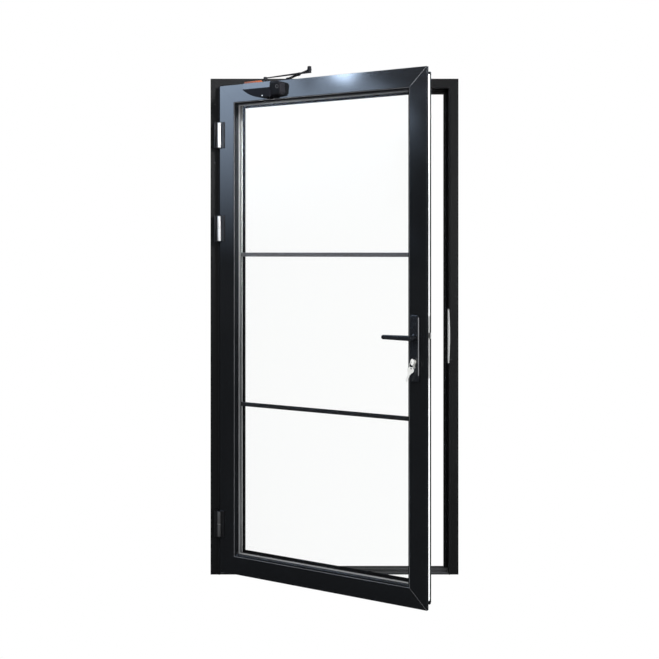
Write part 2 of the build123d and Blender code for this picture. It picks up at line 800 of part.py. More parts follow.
def lock_stile():
    """The free stile, cut out for the lock case, the cylinder and the spindle."""
    stile = leaf_side(leaf_profile(), SIGHT_LINE, "lock")
    low, high = case_heights()
    floor_x = LEAF_HALF - GROOVE_FLOOR
    stile -= block(
        floor_x - PROFILE_WALL - 1,
        floor_x + 1,
        LOCK_Y - CASE_THICKNESS / 2 - BOLT_CLEAR,
        LOCK_Y + CASE_THICKNESS / 2 + BOLT_CLEAR,
        low - BOLT_CLEAR,
        high + BOLT_CLEAR,
    )
    room_front = LEAF_FRONT + FLANGE_THICKNESS + 0.5
    room_back = LEAF_BACK - PROFILE_WALL - 0.5
    for y0, y1 in ((LEAF_FRONT - 1, room_front), (room_back, LEAF_BACK + 1)):
        stile -= cross_rod(NECK_RADIUS + 2, LOCK_X, LEVER_HEIGHT, y0, y1)
        stile -= through_leaf(cylinder_outline(0.5), LOCK_X, CYLINDER_Z, y0, y1)
    return stile


def glass_ring(outer, inner, depth0, depth1):
    """A flat frame around the glass, from outer to inner inset, between two depths."""
    y0 = LEAF_FRONT + depth0
    y1 = LEAF_FRONT + depth1
    full = block(
        -LEAF_HALF + outer, LEAF_HALF - outer, y0, y1, LEAF_BOTTOM + outer, LEAF_TOP - outer
    )
    hole = block(
        -LEAF_HALF + inner, LEAF_HALF - inner, y0 - 1, y1 + 1, LEAF_BOTTOM + inner, LEAF_TOP - inner
    )
    return full - hole


def pane(depth0):
    """One pane of the sealed unit, with its front face at a depth."""
    y0 = LEAF_FRONT + depth0
    return block(
        -LEAF_HALF + GLASS_EDGE,
        LEAF_HALF - GLASS_EDGE,
        y0,
        y0 + PANE,
        LEAF_BOTTOM + GLASS_EDGE,
        LEAF_TOP - GLASS_EDGE,
    )


def glazing_bar(number):
    """A bar in the cavity between the panes; number counts up from the lowest."""
    clear_bottom = LEAF_BOTTOM + SIGHT_LINE
    clear_height = LEAF_HEIGHT - 2 * SIGHT_LINE
    height = clear_bottom + clear_height * number / (BAR_COUNT + 1)
    middle = LEAF_FRONT + GLASS_FRONT + PANE + CAVITY / 2
    inset = SPACER_EDGE + SPACER_WIDTH
    bar = block(
        -LEAF_HALF + inset,
        LEAF_HALF - inset,
        middle - BAR_THICKNESS / 2,
        middle + BAR_THICKNESS / 2,
        height - BAR_HEIGHT / 2,
        height + BAR_HEIGHT / 2,
    )
    return fillet(bar.edges().filter_by(Axis.X), 1.5)


def setting_blocks():
    """Two blocks under the glass, on the bottom rail's rebate."""
    blocks = []
    for side in (-1, 1):
        middle = side * LEAF_HALF * 0.5
        blocks.append(
            block(
                middle - BLOCK_LENGTH / 2,
                middle + BLOCK_LENGTH / 2,
                LEAF_FRONT + GLASS_FRONT,
                LEAF_FRONT + GLASS_BACK,
                LEAF_BOTTOM + REBATE_FLOOR,
                LEAF_BOTTOM + GLASS_EDGE,
            )
        )
    return Compound(children=blocks)


def leaf_cleats():
    """Four corner angles in the leaf's body chamber."""
    face = cleat(GROOVE_FLOOR + PROFILE_WALL, REBATE_FLOOR - PROFILE_WALL)
    y0 = LEAF_FRONT + FLANGE_THICKNESS + CLEAT_FIT
    y1 = LEAF_BACK - PROFILE_WALL - CLEAT_FIT
    angles = []
    for turn_x in (1, -1):
        for turn_z in (1, -1):
            x = -turn_x * LEAF_HALF
            z = LEAF_BOTTOM if turn_z > 0 else LEAF_TOP
            angles.append(place_cleat(face, x, z, turn_x, turn_z, y0, y1))
    return Compound(children=angles)


def bottom_sweep():
    """The seal under the bottom rail: a holder and a blade just above the threshold."""
    rail_bottom = LEAF_BOTTOM + FLANGE_SETBACK
    middle = FRAME_FRONT + SILL_FRONT_DEPTH + 2 + SWEEP_DEPTH
    reach = BODY_EDGE - PROFILE_WALL
    holder = block(
        -reach,
        reach,
        middle - SWEEP_DEPTH / 2,
        middle + SWEEP_DEPTH / 2,
        rail_bottom - SWEEP_HOLDER,
        rail_bottom,
    )
    holder = fillet(holder.edges().filter_by(Axis.X).sort_by(Axis.Z)[:2], 1.5)
    stop_gap = STOP_RISE - (WALL_X - BODY_EDGE) + SEAL_CLEAR
    blade_reach = reach - max(stop_gap, 0)
    blade = block(
        -blade_reach,
        blade_reach,
        middle - 1.5,
        middle + 1.5,
        SILL_HEIGHT + SWEEP_CLEAR,
        rail_bottom - SWEEP_HOLDER,
    )
    return holder + blade


def edge_strips():
    """Cover strips in the lock stile's edge groove, above and below the faceplate."""
    x0 = LEAF_HALF - GROOVE_FLOOR
    x1 = x0 + GROOVE_DEPTH
    half = FACEPLATE_LENGTH / 2
    spans = (
        (LEAF_BOTTOM + EDGE_STRIP_MARGIN, FACEPLATE_Z - half),
        (FACEPLATE_Z + half, LEAF_TOP - EDGE_STRIP_MARGIN),
    )
    y0 = LEAF_FRONT + GROOVE_FRONT
    return Compound(
        children=[block(x0, x1, y0, y0 + GROOVE_WIDTH, low, high) for low, high in spans]
    )


# Lock


def case_heights():
    """Bottom and top of the lock case."""
    return LEVER_HEIGHT - CASE_BOTTOM, LEVER_HEIGHT + CASE_TOP


def bolt_hole(height, tall, x0, x1):
    """Room for a bolt of the lock, with its running clearance."""
    return block(
        x0,
        x1,
        LOCK_Y - BOLT_THICKNESS / 2 - BOLT_CLEAR,
        LOCK_Y + BOLT_THICKNESS / 2 + BOLT_CLEAR,
        height - tall / 2 - BOLT_CLEAR,
        height + tall / 2 + BOLT_CLEAR,
    )


def lock_case():
    """The lock's steel case, open where the bolts, the spindle and the cylinder go."""
    low, high = case_heights()
    right = LEAF_HALF - GROOVE_FLOOR
    left = LEAF_HALF - REBATE_FLOOR + PROFILE_WALL + 1
    y0 = LOCK_Y - CASE_THICKNESS / 2
    y1 = LOCK_Y + CASE_THICKNESS / 2
    case = block(left, right, y0, y1, low, high)
    for height, tall in bolt_windows():
        case -= bolt_hole(height, tall, left + CASE_WALL, right + 1)
    case -= cross_rod(SPINDLE_BORE_RADIUS, LOCK_X, LEVER_HEIGHT, y0 - 1, y1 + 1)
    case -= through_leaf(cylinder_outline(FIT), LOCK_X, CYLINDER_Z, y0 - 1, y1 + 1)
    return case


def faceplate():
    """The lock's faceplate in the stile's edge groove."""
    x0 = LEAF_HALF - GROOVE_FLOOR
    x1 = x0 + FACEPLATE_THICKNESS
    y0 = LEAF_FRONT + GROOVE_FRONT
    half = FACEPLATE_LENGTH / 2
    plate = block(x0, x1, y0, y0 + GROOVE_WIDTH, FACEPLATE_Z - half, FACEPLATE_Z + half)
    for height, tall in bolt_windows():
        plate -= bolt_hole(height, tall, x0 - 1, x1 + 1)
    return plate


def latch_bolt():
    """The sprung latch: a head with a sloping nose and a tail over the spindle."""
    tip = LEAF_HALF - FLANGE_SETBACK + LATCH_REACH
    y0 = LOCK_Y - BOLT_THICKNESS / 2
    y1 = LOCK_Y + BOLT_THICKNESS / 2
    low = LATCH_Z - LATCH_HEIGHT / 2
    nose = polygon(
        [
            (tip - LATCH_HEAD, y0),
            (tip - 2, y0),
            (tip, y0 + 2),
            (tip - LATCH_REACH + 3, y1),
            (tip - LATCH_HEAD, y1),
        ]
    )
    head_part = Pos(0, 0, low) * extrude(nose, LATCH_HEIGHT)
    back = tip - LATCH_HEAD
    top = LATCH_Z + LATCH_HEIGHT / 2
    tail = block(back - LATCH_TAIL, back, y0 + 3, y1 - 3, top - TAIL_HEIGHT, top)
    return head_part + tail


def dead_bolt():
    """The dead bolt, drawn back flush with the faceplate, with a tail over the cylinder."""
    tip = LEAF_HALF - FLANGE_SETBACK
    y0 = LOCK_Y - BOLT_THICKNESS / 2
    y1 = LOCK_Y + BOLT_THICKNESS / 2
    low = DEAD_BOLT_Z - DEAD_BOLT_HEIGHT / 2
    high = DEAD_BOLT_Z + DEAD_BOLT_HEIGHT / 2
    head_part = block(tip - DEAD_BOLT_HEAD, tip, y0, y1, low, high)
    back = tip - DEAD_BOLT_HEAD
    tail = block(back - DEAD_BOLT_TAIL, back, y0 + 3, y1 - 3, high - TAIL_HEIGHT, high)
    return head_part + tail


def lock_cylinder():
    """The profile cylinder through both plates, bored for its plug."""
    y0 = LEAF_FRONT - PLATE_THICKNESS - CYLINDER_PROUD
    y1 = LEAF_BACK + PLATE_THICKNESS + CYLINDER_PROUD
    body = through_leaf(cylinder_outline(0), LOCK_X, CYLINDER_Z, y0, y1)
    bore = cross_rod(PLUG_RADIUS + FIT, LOCK_X, CYLINDER_Z, y0 - 1, LOCK_Y + CASE_THICKNESS / 2)
    return body - bore


def plug():
    """The turning plug of the cylinder, slotted for the key."""
    y0 = LEAF_FRONT - PLATE_THICKNESS - CYLINDER_PROUD
    y1 = LOCK_Y + CASE_THICKNESS / 2 - 1
    body = cross_rod(PLUG_RADIUS, LOCK_X, CYLINDER_Z, y0, y1)
    half = KEY_THICKNESS / 2 + FIT
    slot = block(
        LOCK_X - half,
        LOCK_X + half,
        y0 - 1,
        y0 + KEY_BLADE_LENGTH + FIT,
        CYLINDER_Z - KEY_BLADE_HEIGHT / 2 - FIT,
        CYLINDER_Z + KEY_BLADE_HEIGHT / 2 + FIT,
    )
    return body - slot


def key_shape():
    """A key lying flat: bow at the origin, blade along +X, cut in the bitting."""
    bow = Circle(KEY_BOW_RADIUS)
    bow += Pos(KEY_BOW_RADIUS - 2, 0) * Rectangle(10, KEY_BLADE_HEIGHT + 5)
    start = KEY_BOW_PROUD - 5
    end = KEY_BOW_PROUD + KEY_BLADE_LENGTH
    half = KEY_BLADE_HEIGHT / 2
    blade = polygon(
        [(start, -half), (end - 2, -half), (end, -half + 2), (end, half - 2), (end - 2, half), (start, half)]
    )
    shape = bow + blade
    shape -= Pos(-KEY_HOLE_OFFSET, 0) * Circle(KEY_HOLE_RADIUS)
    for notch in range(4):
        x = KEY_BOW_PROUD + 6 + notch * 5.5
        depth = 1.2 + 0.5 * (notch % 2)
        shape -= polygon([(x - 2, half + 0.1), (x, half - depth), (x + 2, half + 0.1)])
    return Pos(0, 0, -KEY_THICKNESS / 2) * extrude(shape, KEY_THICKNESS)


def key():
    """The key in the plug, its bow upright and square to the door."""
    face = LEAF_FRONT - PLATE_THICKNESS - CYLINDER_PROUD
    plane = Plane(
        origin=(LOCK_X, face - KEY_BOW_PROUD, CYLINDER_Z), x_dir=(0, 1, 0), z_dir=(1, 0, 0)
    )
    return plane.location * key_shape()


def ring_centre():
    """Middle of the key ring, hung from the hole in the key's bow."""
    face = LEAF_FRONT - PLATE_THICKNESS - CYLINDER_PROUD
    y = face - KEY_BOW_PROUD - KEY_HOLE_OFFSET
    z = CYLINDER_Z - RING_RADIUS - KEY_HOLE_RADIUS + RING_WIRE / 2 + 0.3
    return LOCK_X, y, z


def key_ring():
    """The split ring that carries the spare key."""
    x, y, z = ring_centre()
    ring = Rot(90, 0, 0) * Torus(RING_RADIUS, RING_WIRE / 2)
    return Pos(x, y, z) * Rot(0, 0, RING_TWIST) * ring


def spare_key():
    """The spare key that hangs from the ring, twisted and leaning to the hinge side."""
    x, y, z = ring_centre()
    hang = z - RING_RADIUS
    shape = Pos(KEY_HOLE_OFFSET, 0, 0) * key_shape()
    shape = Rot(0, 90, 0) * shape
    shape = Rot(0, 0, SPARE_TWIST) * shape
    shape = Rot(0, SPARE_LEAN, 0) * shape
    drop = KEY_HOLE_RADIUS - RING_WIRE / 2 - RING_SLACK
    return Pos(x, y, hang - drop) * shape


def handle_plate(front):
    """A long backplate with rounded ends, bored for the neck and the cylinder."""
    top = LEVER_HEIGHT + PLATE_TOP
    middle = top - PLATE_LENGTH / 2
    outline = RectangleRounded(PLATE_WIDTH, PLATE_LENGTH, PLATE_ROUND)
    if front:
        y0, y1 = LEAF_FRONT - PLATE_THICKNESS, LEAF_FRONT
    else:
        y0, y1 = LEAF_BACK, LEAF_BACK + PLATE_THICKNESS
    plate = through_leaf(outline, LOCK_X, middle, y0, y1)
    face = plate.faces().sort_by(Axis.Y)[0 if front else -1]
    plate = fillet(face.edges(), 3)
    plate -= cross_rod(NECK_RADIUS + FIT, LOCK_X, LEVER_HEIGHT, y0 - 1, y1 + 1)
    return plate - through_leaf(cylinder_outline(FIT), LOCK_X, CYLINDER_Z, y0 - 1, y1 + 1)


def lever(front):
    """A lever handle: a round neck and a flat grip that points to the hinge side."""
    way = -1 if front else 1
    face = LEAF_FRONT if front else LEAF_BACK
    seat = face + way * 1.0
    grip_near = face + way * LEVER_PROUD
    grip_far = grip_near + way * LEVER_THICKNESS
    neck = cross_rod(NECK_RADIUS, LOCK_X, LEVER_HEIGHT, seat, grip_near)
    tall = LEVER_DEPTH / 2
    pivot_end = LEVER_DEPTH / 2
    tip = pivot_end - (LEVER_LENGTH if front else BACK_LEVER_LENGTH)
    outline = make_face(
        Line((0, tall), (tip + 12, tall - 1))
        + ThreePointArc((tip + 12, tall - 1), (tip + 1.5, 1), (tip + 9, -tall + 2))
        + Line((tip + 9, -tall + 2), (0, -tall))
        + ThreePointArc((0, -tall), (pivot_end, 0), (0, tall))
    )
    grip = through_leaf(
        outline, LOCK_X, LEVER_HEIGHT, min(grip_near, grip_far), max(grip_near, grip_far)
    )
    grip = fillet(grip.faces().sort_by(Axis.Y)[0].edges(), LEVER_ROUND)
    grip = fillet(grip.faces().sort_by(Axis.Y)[-1].edges(), LEVER_ROUND)
    half = SPINDLE_SIDE / 2 + FIT
    end = grip_near + way * 2
    bore = block(
        LOCK_X - half, LOCK_X + half, seat - way, end, LEVER_HEIGHT - half, LEVER_HEIGHT + half
    )
    return neck + grip - bore


def lever_spindle():
    """The square spindle that joins the two levers through the lock."""
    half = SPINDLE_SIDE / 2
    reach = LEVER_PROUD
    return block(
        LOCK_X - half,
        LOCK_X + half,
        LEAF_FRONT - reach,
        LEAF_BACK + reach,
        LEVER_HEIGHT - half,
        LEVER_HEIGHT + half,
    )


# Closer


def closer_section(depth):
    """The closer's section: a sloping facet above, and a side that draws in below it."""
    front = LEAF_FRONT - depth
    low = CLOSER_TOP - CLOSER_HEIGHT
    return polygon(
        [
            (LEAF_FRONT, low),
            (front + CLOSER_KEEL_DEPTH, low),
            (front, CLOSER_TOP - CLOSER_FACET_HEIGHT),
            (front + CLOSER_FACET_DEPTH, CLOSER_TOP),
            (LEAF_FRONT, CLOSER_TOP),
        ]
    )


def closer_body():
    """The closer's housing on the top rail, with a bowed underside at its hinge end."""
    x0 = HINGE_X + CLOSER_START
    x1 = HINGE_X + CLOSER_JOINT
    low = CLOSER_TOP - CLOSER_HEIGHT
    side = CLOSER_TOP - CLOSER_END_HEIGHT
    bow_end = x0 + CLOSER_BOW_LENGTH
    bow_middle = ((x0 + bow_end) / 2 - 2, low + 0.34 * (side - low))
    outline = make_face(
        Polyline((bow_end, low), (x1, low), (x1, CLOSER_TOP), (x0, CLOSER_TOP), (x0, side))
        + ThreePointArc((x0, side), bow_middle, (bow_end, low))
    )
    slab = extrude(Plane.XZ.offset(-LEAF_FRONT) * outline, CLOSER_DEPTH)
    plane = Plane(origin=(x0, 0, 0), x_dir=(0, 1, 0), z_dir=(1, 0, 0))
    body = slab & extrude(plane * closer_section(CLOSER_DEPTH), x1 - x0)
    body = fillet(body.edges().filter_by(Axis.Y), CLOSER_ROUND / 2)
    sx, sy = on_leaf(SPINDLE_ALONG, -SPINDLE_OUT)
    bore = rod(CLOSER_SPINDLE_RADIUS + FIT, sx, sy, CLOSER_TOP - SPINDLE_SEAT, CLOSER_TOP + 1)
    z, face = valve_place()
    seat = cross_rod(VALVE_RADIUS + FIT, sx - VALVE_OFFSET, z, face - 2, face + VALVE_DEPTH + FIT)
    return body - bore - seat


def closer_cap():
    """The rounded cover at the closer's free end, whose front leans in towards its foot."""
    x0 = HINGE_X + CLOSER_JOINT
    x1 = HINGE_X + CLOSER_END
    low = CLOSER_TOP - CLOSER_HEIGHT + CLOSER_CAP_INSET
    top = CLOSER_TOP - CLOSER_CAP_INSET
    foot = low + CLOSER_CAP_RISE
    front = CLOSER_FRONT + CLOSER_CAP_INSET
    outline = polygon([(x0, low), (x1, foot), (x1, top), (x0, top)])
    slab = extrude(Plane.XZ.offset(-LEAF_FRONT) * outline, CLOSER_DEPTH)
    corners = slab.edges().filter_by(Axis.Y).group_by(Axis.X)[-1]
    slab = fillet(corners, CLOSER_CAP_CORNER)
    side = polygon(
        [
            (LEAF_FRONT, low - 1),
            (front + CLOSER_CAP_LEAN, low - 1),
            (front, top - CLOSER_ROUND),
            (front + CLOSER_ROUND, top + 1),
            (LEAF_FRONT, top + 1),
        ]
    )
    plane = Plane(origin=(x0, 0, 0), x_dir=(0, 1, 0), z_dir=(1, 0, 0))
    cap = slab & extrude(plane * side, x1 - x0 + 1)
    nose = [
        edge
        for edge in cap.edges()
        if edge.center().X > x1 - 1 and edge.center().Y < LEAF_FRONT - CLOSER_DEPTH / 2
    ]
    return fillet(nose, CLOSER_CAP_ROUND)


def valve_place():
    """The speed valve's height, and where the sloping front is at that height."""
    z = CLOSER_TOP - CLOSER_HEIGHT + VALVE_RISE
    slope = CLOSER_KEEL_DEPTH / (CLOSER_HEIGHT - CLOSER_FACET_HEIGHT)
    return z, CLOSER_FRONT + CLOSER_KEEL_DEPTH - VALVE_RISE * slope


def closer_screws():
    """The lower spindle cap, the speed valve on the front and the adjuster on top."""
    sx, sy = on_leaf(SPINDLE_ALONG, -SPINDLE_OUT)
    low = CLOSER_TOP - CLOSER_HEIGHT
    cap = rod(9, sx, sy, low - 5, low)
    cap = fillet(cap.edges().sort_by(Axis.Z)[0], 2)
    z, face = valve_place()
    valve = cross_rod(VALVE_RADIUS, sx - VALVE_OFFSET, z, face - 0.8, face + VALVE_DEPTH)
    adjuster = rod(4.5, sx - 24, sy, CLOSER_TOP, CLOSER_TOP + 4.5)
    adjuster = fillet(adjuster.edges().sort_by(Axis.Z)[-1], 2)
    return Compound(children=[cap, valve, adjuster])


def spindle_place():
    """The closer spindle's axis, with the leaf at its rest angle."""
    turn = radians(-OPEN_ANGLE)
    along = SPINDLE_ALONG
    out = LEAF_FRONT - SPINDLE_OUT - HINGE_Y
    return (
        HINGE_X + along * cos(turn) - out * sin(turn),
        HINGE_Y + along * sin(turn) + out * cos(turn),
    )


def elbow_place():
    """Where the two arms of the closer meet, from their lengths."""
    sx, sy = spindle_place()
    dx = SHOE_X - sx
    dy = SHOE_Y - sy
    reach = hypot(dx, dy)
    along = (MAIN_ARM_LENGTH**2 - FOREARM_LENGTH**2 + reach**2) / (2 * reach)
    across = sqrt(MAIN_ARM_LENGTH**2 - along**2)
    ux = dx / reach
    uy = dy / reach
    return sx + along * ux + across * uy, sy + along * uy - across * ux


def closer_spindle():
    """The upper spindle of the closer that the main arm is fixed on."""
    sx, sy = spindle_place()
    shaft = rod(
        CLOSER_SPINDLE_RADIUS,
        sx,
        sy,
        CLOSER_TOP - SPINDLE_SEAT + 1,
        MAIN_ARM_Z + MAIN_ARM_THIN - FIT,
    )
    collar = rod(
        CLOSER_SPINDLE_RADIUS + 2, sx, sy, CLOSER_TOP + 1, MAIN_ARM_Z - MAIN_HUB_HEIGHT / 2
    )
    return shaft + collar


def main_arm():
    """The arm from the spindle to the elbow: a taper that rises from a round hub."""
    sx, sy = spindle_place()
    ex, ey = elbow_place()
    turn = degrees(atan2(ey - sy, ex - sx))
    near = MAIN_ARM_NARROW / 2
    far = MAIN_ARM_WIDTH / 2
    top = MAIN_ARM_RISE + MAIN_ARM_THICKNESS
    length = MAIN_ARM_LENGTH
    plan = extrude(polygon([(0, -near), (length, -far), (length, far), (0, near)]), top + 1)
    side = polygon([(0, 0), (length, MAIN_ARM_RISE), (length, top), (0, MAIN_ARM_THIN)])
    bar = plan & extrude(Plane.XZ.offset(-far) * side, 2 * far)
    eye = rod(far, length, 0, MAIN_ARM_RISE, top)
    hub_low = -MAIN_HUB_HEIGHT / 2
    hub_high = MAIN_HUB_HEIGHT / 2
    hub = rod(MAIN_HUB_RADIUS, 0, 0, hub_low, hub_high)
    hub = fillet(hub.edges().sort_by(Axis.Z)[-1], 1.5)
    arm = bar + eye + hub
    arm -= rod(CLOSER_SPINDLE_RADIUS + FIT, 0, 0, hub_low - 1, MAIN_ARM_THIN)
    arm -= rod(ELBOW_KNOB_RADIUS / 2, length, 0, MAIN_ARM_RISE - 1, top + 1)
    return Pos(sx, sy, MAIN_ARM_Z) * Rot(0, 0, turn) * arm


def forearm_frame(shape):
    """Set a piece drawn from the shoe along +X onto the line from the shoe to the elbow."""
    ex, ey = elbow_place()
    turn = degrees(atan2(ey - SHOE_Y, ex - SHOE_X))
    return Pos(SHOE_X, SHOE_Y, FOREARM_Z) * Rot(0, 0, turn) * shape


def sloping_rod(radius, start, stop):
    """A cylinder along the forearm's slope, between two distances from the shoe."""
    slope = degrees(atan2(FOREARM_RISE, FOREARM_LENGTH))
    middle = (start + stop) / 2
    height = FOREARM_THICKNESS / 2 + FOREARM_RISE * middle / FOREARM_LENGTH
    return Pos(middle, 0, height) * Rot(0, 90 - slope, 0) * Cylinder(radius, stop - start)


def forearm_tube():
    """The forearm's sleeve at the shoe, with its eye and its clamping collar."""
    length = FOREARM_LENGTH * TUBE_SHARE
    eye = rod(FOREARM_EYE_RADIUS, 0, 0, 0, FOREARM_THICKNESS)
    eye += block(0, FOREARM_NECK + 2, -TUBE_RADIUS, TUBE_RADIUS, 0, FOREARM_THICKNESS)
    tube = sloping_rod(TUBE_RADIUS, FOREARM_NECK, length)
    collar = sloping_rod(TUBE_RADIUS + 2, length - 14, length)
    collar = fillet(collar.edges(), 1)
    bore = sloping_rod(ROD_RADIUS + FIT, length - TUBE_LAP, length + 1)
    pin_bore = rod(SHOE_PIN_RADIUS + FIT, 0, 0, -1, FOREARM_THICKNESS + 1)
    return forearm_frame(eye + tube + collar - bore - pin_bore)


def forearm_rod():
    """The forearm's rod, slid into the sleeve, with the elbow's eye."""
    start = FOREARM_LENGTH * TUBE_SHARE - TUBE_LAP + 1
    shank = sloping_rod(ROD_RADIUS, start, FOREARM_LENGTH - FOREARM_EYE_RADIUS + 3)
    low = FOREARM_RISE
    high = FOREARM_RISE + FOREARM_THICKNESS
    eye = rod(FOREARM_EYE_RADIUS, FOREARM_LENGTH, 0, low, high)
    bore = rod(ELBOW_KNOB_RADIUS / 2 + FIT, FOREARM_LENGTH, 0, low - 1, high + 1)
    return forearm_frame(shank + eye - bore)


def elbow_screw():
    """The elbow's screw in the forearm's eye: knob on top, collar under it."""
    low = FOREARM_RISE
    high = FOREARM_RISE + FOREARM_THICKNESS
    stem_low = low - ARM_STEP + ELBOW_CLEAR
    x = FOREARM_LENGTH
    knob = rod(ELBOW_KNOB_RADIUS, x, 0, high, high + ELBOW_KNOB_HEIGHT)
    knob = fillet(knob.edges().sort_by(Axis.Z)[-1], 3)
    stem = rod(ELBOW_KNOB_RADIUS / 2, x, 0, stem_low, high)
    collar = rod(ELBOW_KNOB_RADIUS, x, 0, stem_low, low)
    return forearm_frame(knob + stem + collar)


def closer_shoe():
    """The bracket on the head that carries the forearm's pivot."""
    plate = block(
        SHOE_X - SHOE_WIDTH / 2,
        SHOE_X + SHOE_WIDTH / 2,
        FRAME_FRONT - SHOE_PLATE,
        FRAME_FRONT,
        SHOE_Z,
        SHOE_Z + SHOE_HEIGHT,
    )
    plate = fillet(plate.edges().filter_by(Axis.Y), 3)
    half = SHOE_LUG_WIDTH / 2
    high = FOREARM_Z - SHOE_CLEAR
    low = high - SHOE_LUG
    lug = block(SHOE_X - half, SHOE_X + half, SHOE_Y, FRAME_FRONT - SHOE_PLATE, low, high)
    nose = rod(half, SHOE_X, SHOE_Y, low, high)
    pin = rod(SHOE_PIN_RADIUS, SHOE_X, SHOE_Y, low, FOREARM_Z + FOREARM_THICKNESS + 1.5)
    return plate + lug + nose + pin


def write(name, shape):
    """Write one piece to its own STEP file."""
    export_step(shape, f"parts/{name}.step")


def main():
    """Build every piece and write it under its own name."""
    os.makedirs("parts", exist_ok=True)
    write("jamb_hinge_side", jamb(-1))
    write("jamb_lock_side", lock_jamb())
    write("frame_head", head())
    write("threshold", threshold())
    write("frame_face_seal", face_seal())
    write("frame_stop_seal", stop_seal())
    write("frame_corner_cleats", frame_cleats())
    write("strike_plate", strike_plate())
    write("fixing_caps", fixing_caps())
    for name, height in zip(HINGE_NAMES, HINGE_HEIGHTS):
        write(f"hinge_frame_part_{name}", hinge_frame_part(height))
        write(f"hinge_leaf_part_{name}", swing_open(hinge_leaf_part(height)))
    write("hinge_pins", hinge_pins())
    write("hinge_bushes", hinge_bushes())

    write("stile_hinge_side", swing_open(leaf_side(leaf_profile(), SIGHT_LINE, "hinge")))
    write("stile_lock_side", swing_open(lock_stile()))
    write("rail_top", swing_open(leaf_side(leaf_profile(), SIGHT_LINE, "top")))
    write("rail_bottom", swing_open(leaf_side(leaf_profile(), SIGHT_LINE, "bottom")))
    for side in ("hinge", "lock", "top", "bottom"):
        bead = leaf_side(bead_profile(), BEAD_SIGHT_LINE, side)
        write(f"glazing_bead_{side}", swing_open(bead))
    write("leaf_corner_cleats", swing_open(leaf_cleats()))
    write("glass_outer_pane", swing_open(pane(GLASS_FRONT)))
    write("glass_inner_pane", swing_open(pane(GLASS_FRONT + PANE + CAVITY)))
    spacer_back = GLASS_FRONT + PANE + CAVITY
    spacer = glass_ring(SPACER_EDGE, SPACER_EDGE + SPACER_WIDTH, GLASS_FRONT + PANE, spacer_back)
    write("glass_spacer", swing_open(spacer))
    write("glazing_bar_lower", swing_open(glazing_bar(1)))
    write("glazing_bar_upper", swing_open(glazing_bar(BAR_COUNT)))
    outer_seal = glass_ring(SPACER_EDGE, SIGHT_LINE + 1, LEG_BACK, GLASS_FRONT)
    write("glazing_seal_outer", swing_open(outer_seal))
    inner_seal = glass_ring(SIGHT_LINE, BEAD_SIGHT_LINE + 1, GLASS_BACK, BEAD_FRONT)
    write("glazing_seal_inner", swing_open(inner_seal))
    write("setting_blocks", swing_open(setting_blocks()))
    write("bottom_sweep", swing_open(bottom_sweep()))
    write("edge_cover_strips", swing_open(edge_strips()))

    write("lock_case", swing_open(lock_case()))
    write("lock_faceplate", swing_open(faceplate()))
    write("lock_cylinder", swing_open(lock_cylinder()))
    write("handle_plate_front", swing_open(handle_plate(True)))
    write("handle_plate_back", swing_open(handle_plate(False)))
    write("lever_front", swing_open(lever(True)))
    write("lever_back", swing_open(lever(False)))
    write("lever_spindle", swing_open(lever_spindle()))
    write("latch_bolt", swing_open(latch_bolt()))
    write("dead_bolt", swing_open(dead_bolt()))
    write("cylinder_plug", swing_open(plug()))
    write("key", swing_open(key()))
    write("key_ring", swing_open(key_ring()))
    write("spare_key", swing_open(spare_key()))

    write("closer_body", swing_open(closer_body()))
    write("closer_cap", swing_open(closer_cap()))
    write("closer_screws", swing_open(closer_screws()))
    write("closer_spindle", closer_spindle())
    write("closer_main_arm", main_arm())
    write("closer_forearm_tube", forearm_tube())
    write("closer_forearm_rod", forearm_rod())
    write("closer_elbow_screw", elbow_screw())
    write("closer_shoe", closer_shoe())


main()
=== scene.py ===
"""Looks of the glazed door: finishes, small fittings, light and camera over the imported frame.

Metres, in the row frame: X along the opening, Y into the wall, Z up. Everything on the leaf is
drawn on the shut leaf and then swung with it, as its construction is.
"""

import json
import logging
import math
from dataclasses import dataclass, field
from enum import Enum
from functools import cache
from typing import Any, Optional, Sequence

import bmesh
import bpy
from mathutils import Matrix, Vector

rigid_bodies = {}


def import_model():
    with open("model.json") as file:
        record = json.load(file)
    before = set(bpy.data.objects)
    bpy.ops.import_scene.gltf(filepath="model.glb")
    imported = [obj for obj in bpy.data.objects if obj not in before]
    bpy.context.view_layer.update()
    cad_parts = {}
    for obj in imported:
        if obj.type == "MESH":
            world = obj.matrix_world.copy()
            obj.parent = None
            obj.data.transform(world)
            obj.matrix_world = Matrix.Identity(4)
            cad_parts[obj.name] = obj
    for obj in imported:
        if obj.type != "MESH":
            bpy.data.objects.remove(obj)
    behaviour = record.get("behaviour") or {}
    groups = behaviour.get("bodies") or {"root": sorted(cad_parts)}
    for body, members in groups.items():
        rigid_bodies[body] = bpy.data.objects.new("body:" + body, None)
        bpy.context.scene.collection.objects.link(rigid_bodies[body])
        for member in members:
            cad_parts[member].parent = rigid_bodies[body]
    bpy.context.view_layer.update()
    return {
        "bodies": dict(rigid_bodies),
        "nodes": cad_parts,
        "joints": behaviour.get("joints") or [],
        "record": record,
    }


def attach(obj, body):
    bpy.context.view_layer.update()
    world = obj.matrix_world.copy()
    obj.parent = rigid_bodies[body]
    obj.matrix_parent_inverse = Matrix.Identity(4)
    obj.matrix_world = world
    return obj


LOG = logging.getLogger("door")
MM = 0.001
SMOOTH_LIMIT = 35.0  # degrees between faces that are still shaded smooth
WELD = 0.0005  # millimetres between vertices that are one
PROUD = 0.03  # millimetres that a drawn line stands off its face
RGB = tuple[float, float, float]
Point = tuple[float, float, float]
Pairs = Sequence[tuple[float, float]]
Patch = tuple[float, float, float, float, float]


class Side(Enum):
    """Which face of the leaf a piece is on."""

    FRONT = -1
    BACK = 1


class Drive(Enum):
    """How a screw is driven: its recess as a share of its radius, and its faces round."""

    CROSS = (0.18, 32)
    HEX = (0.42, 36)


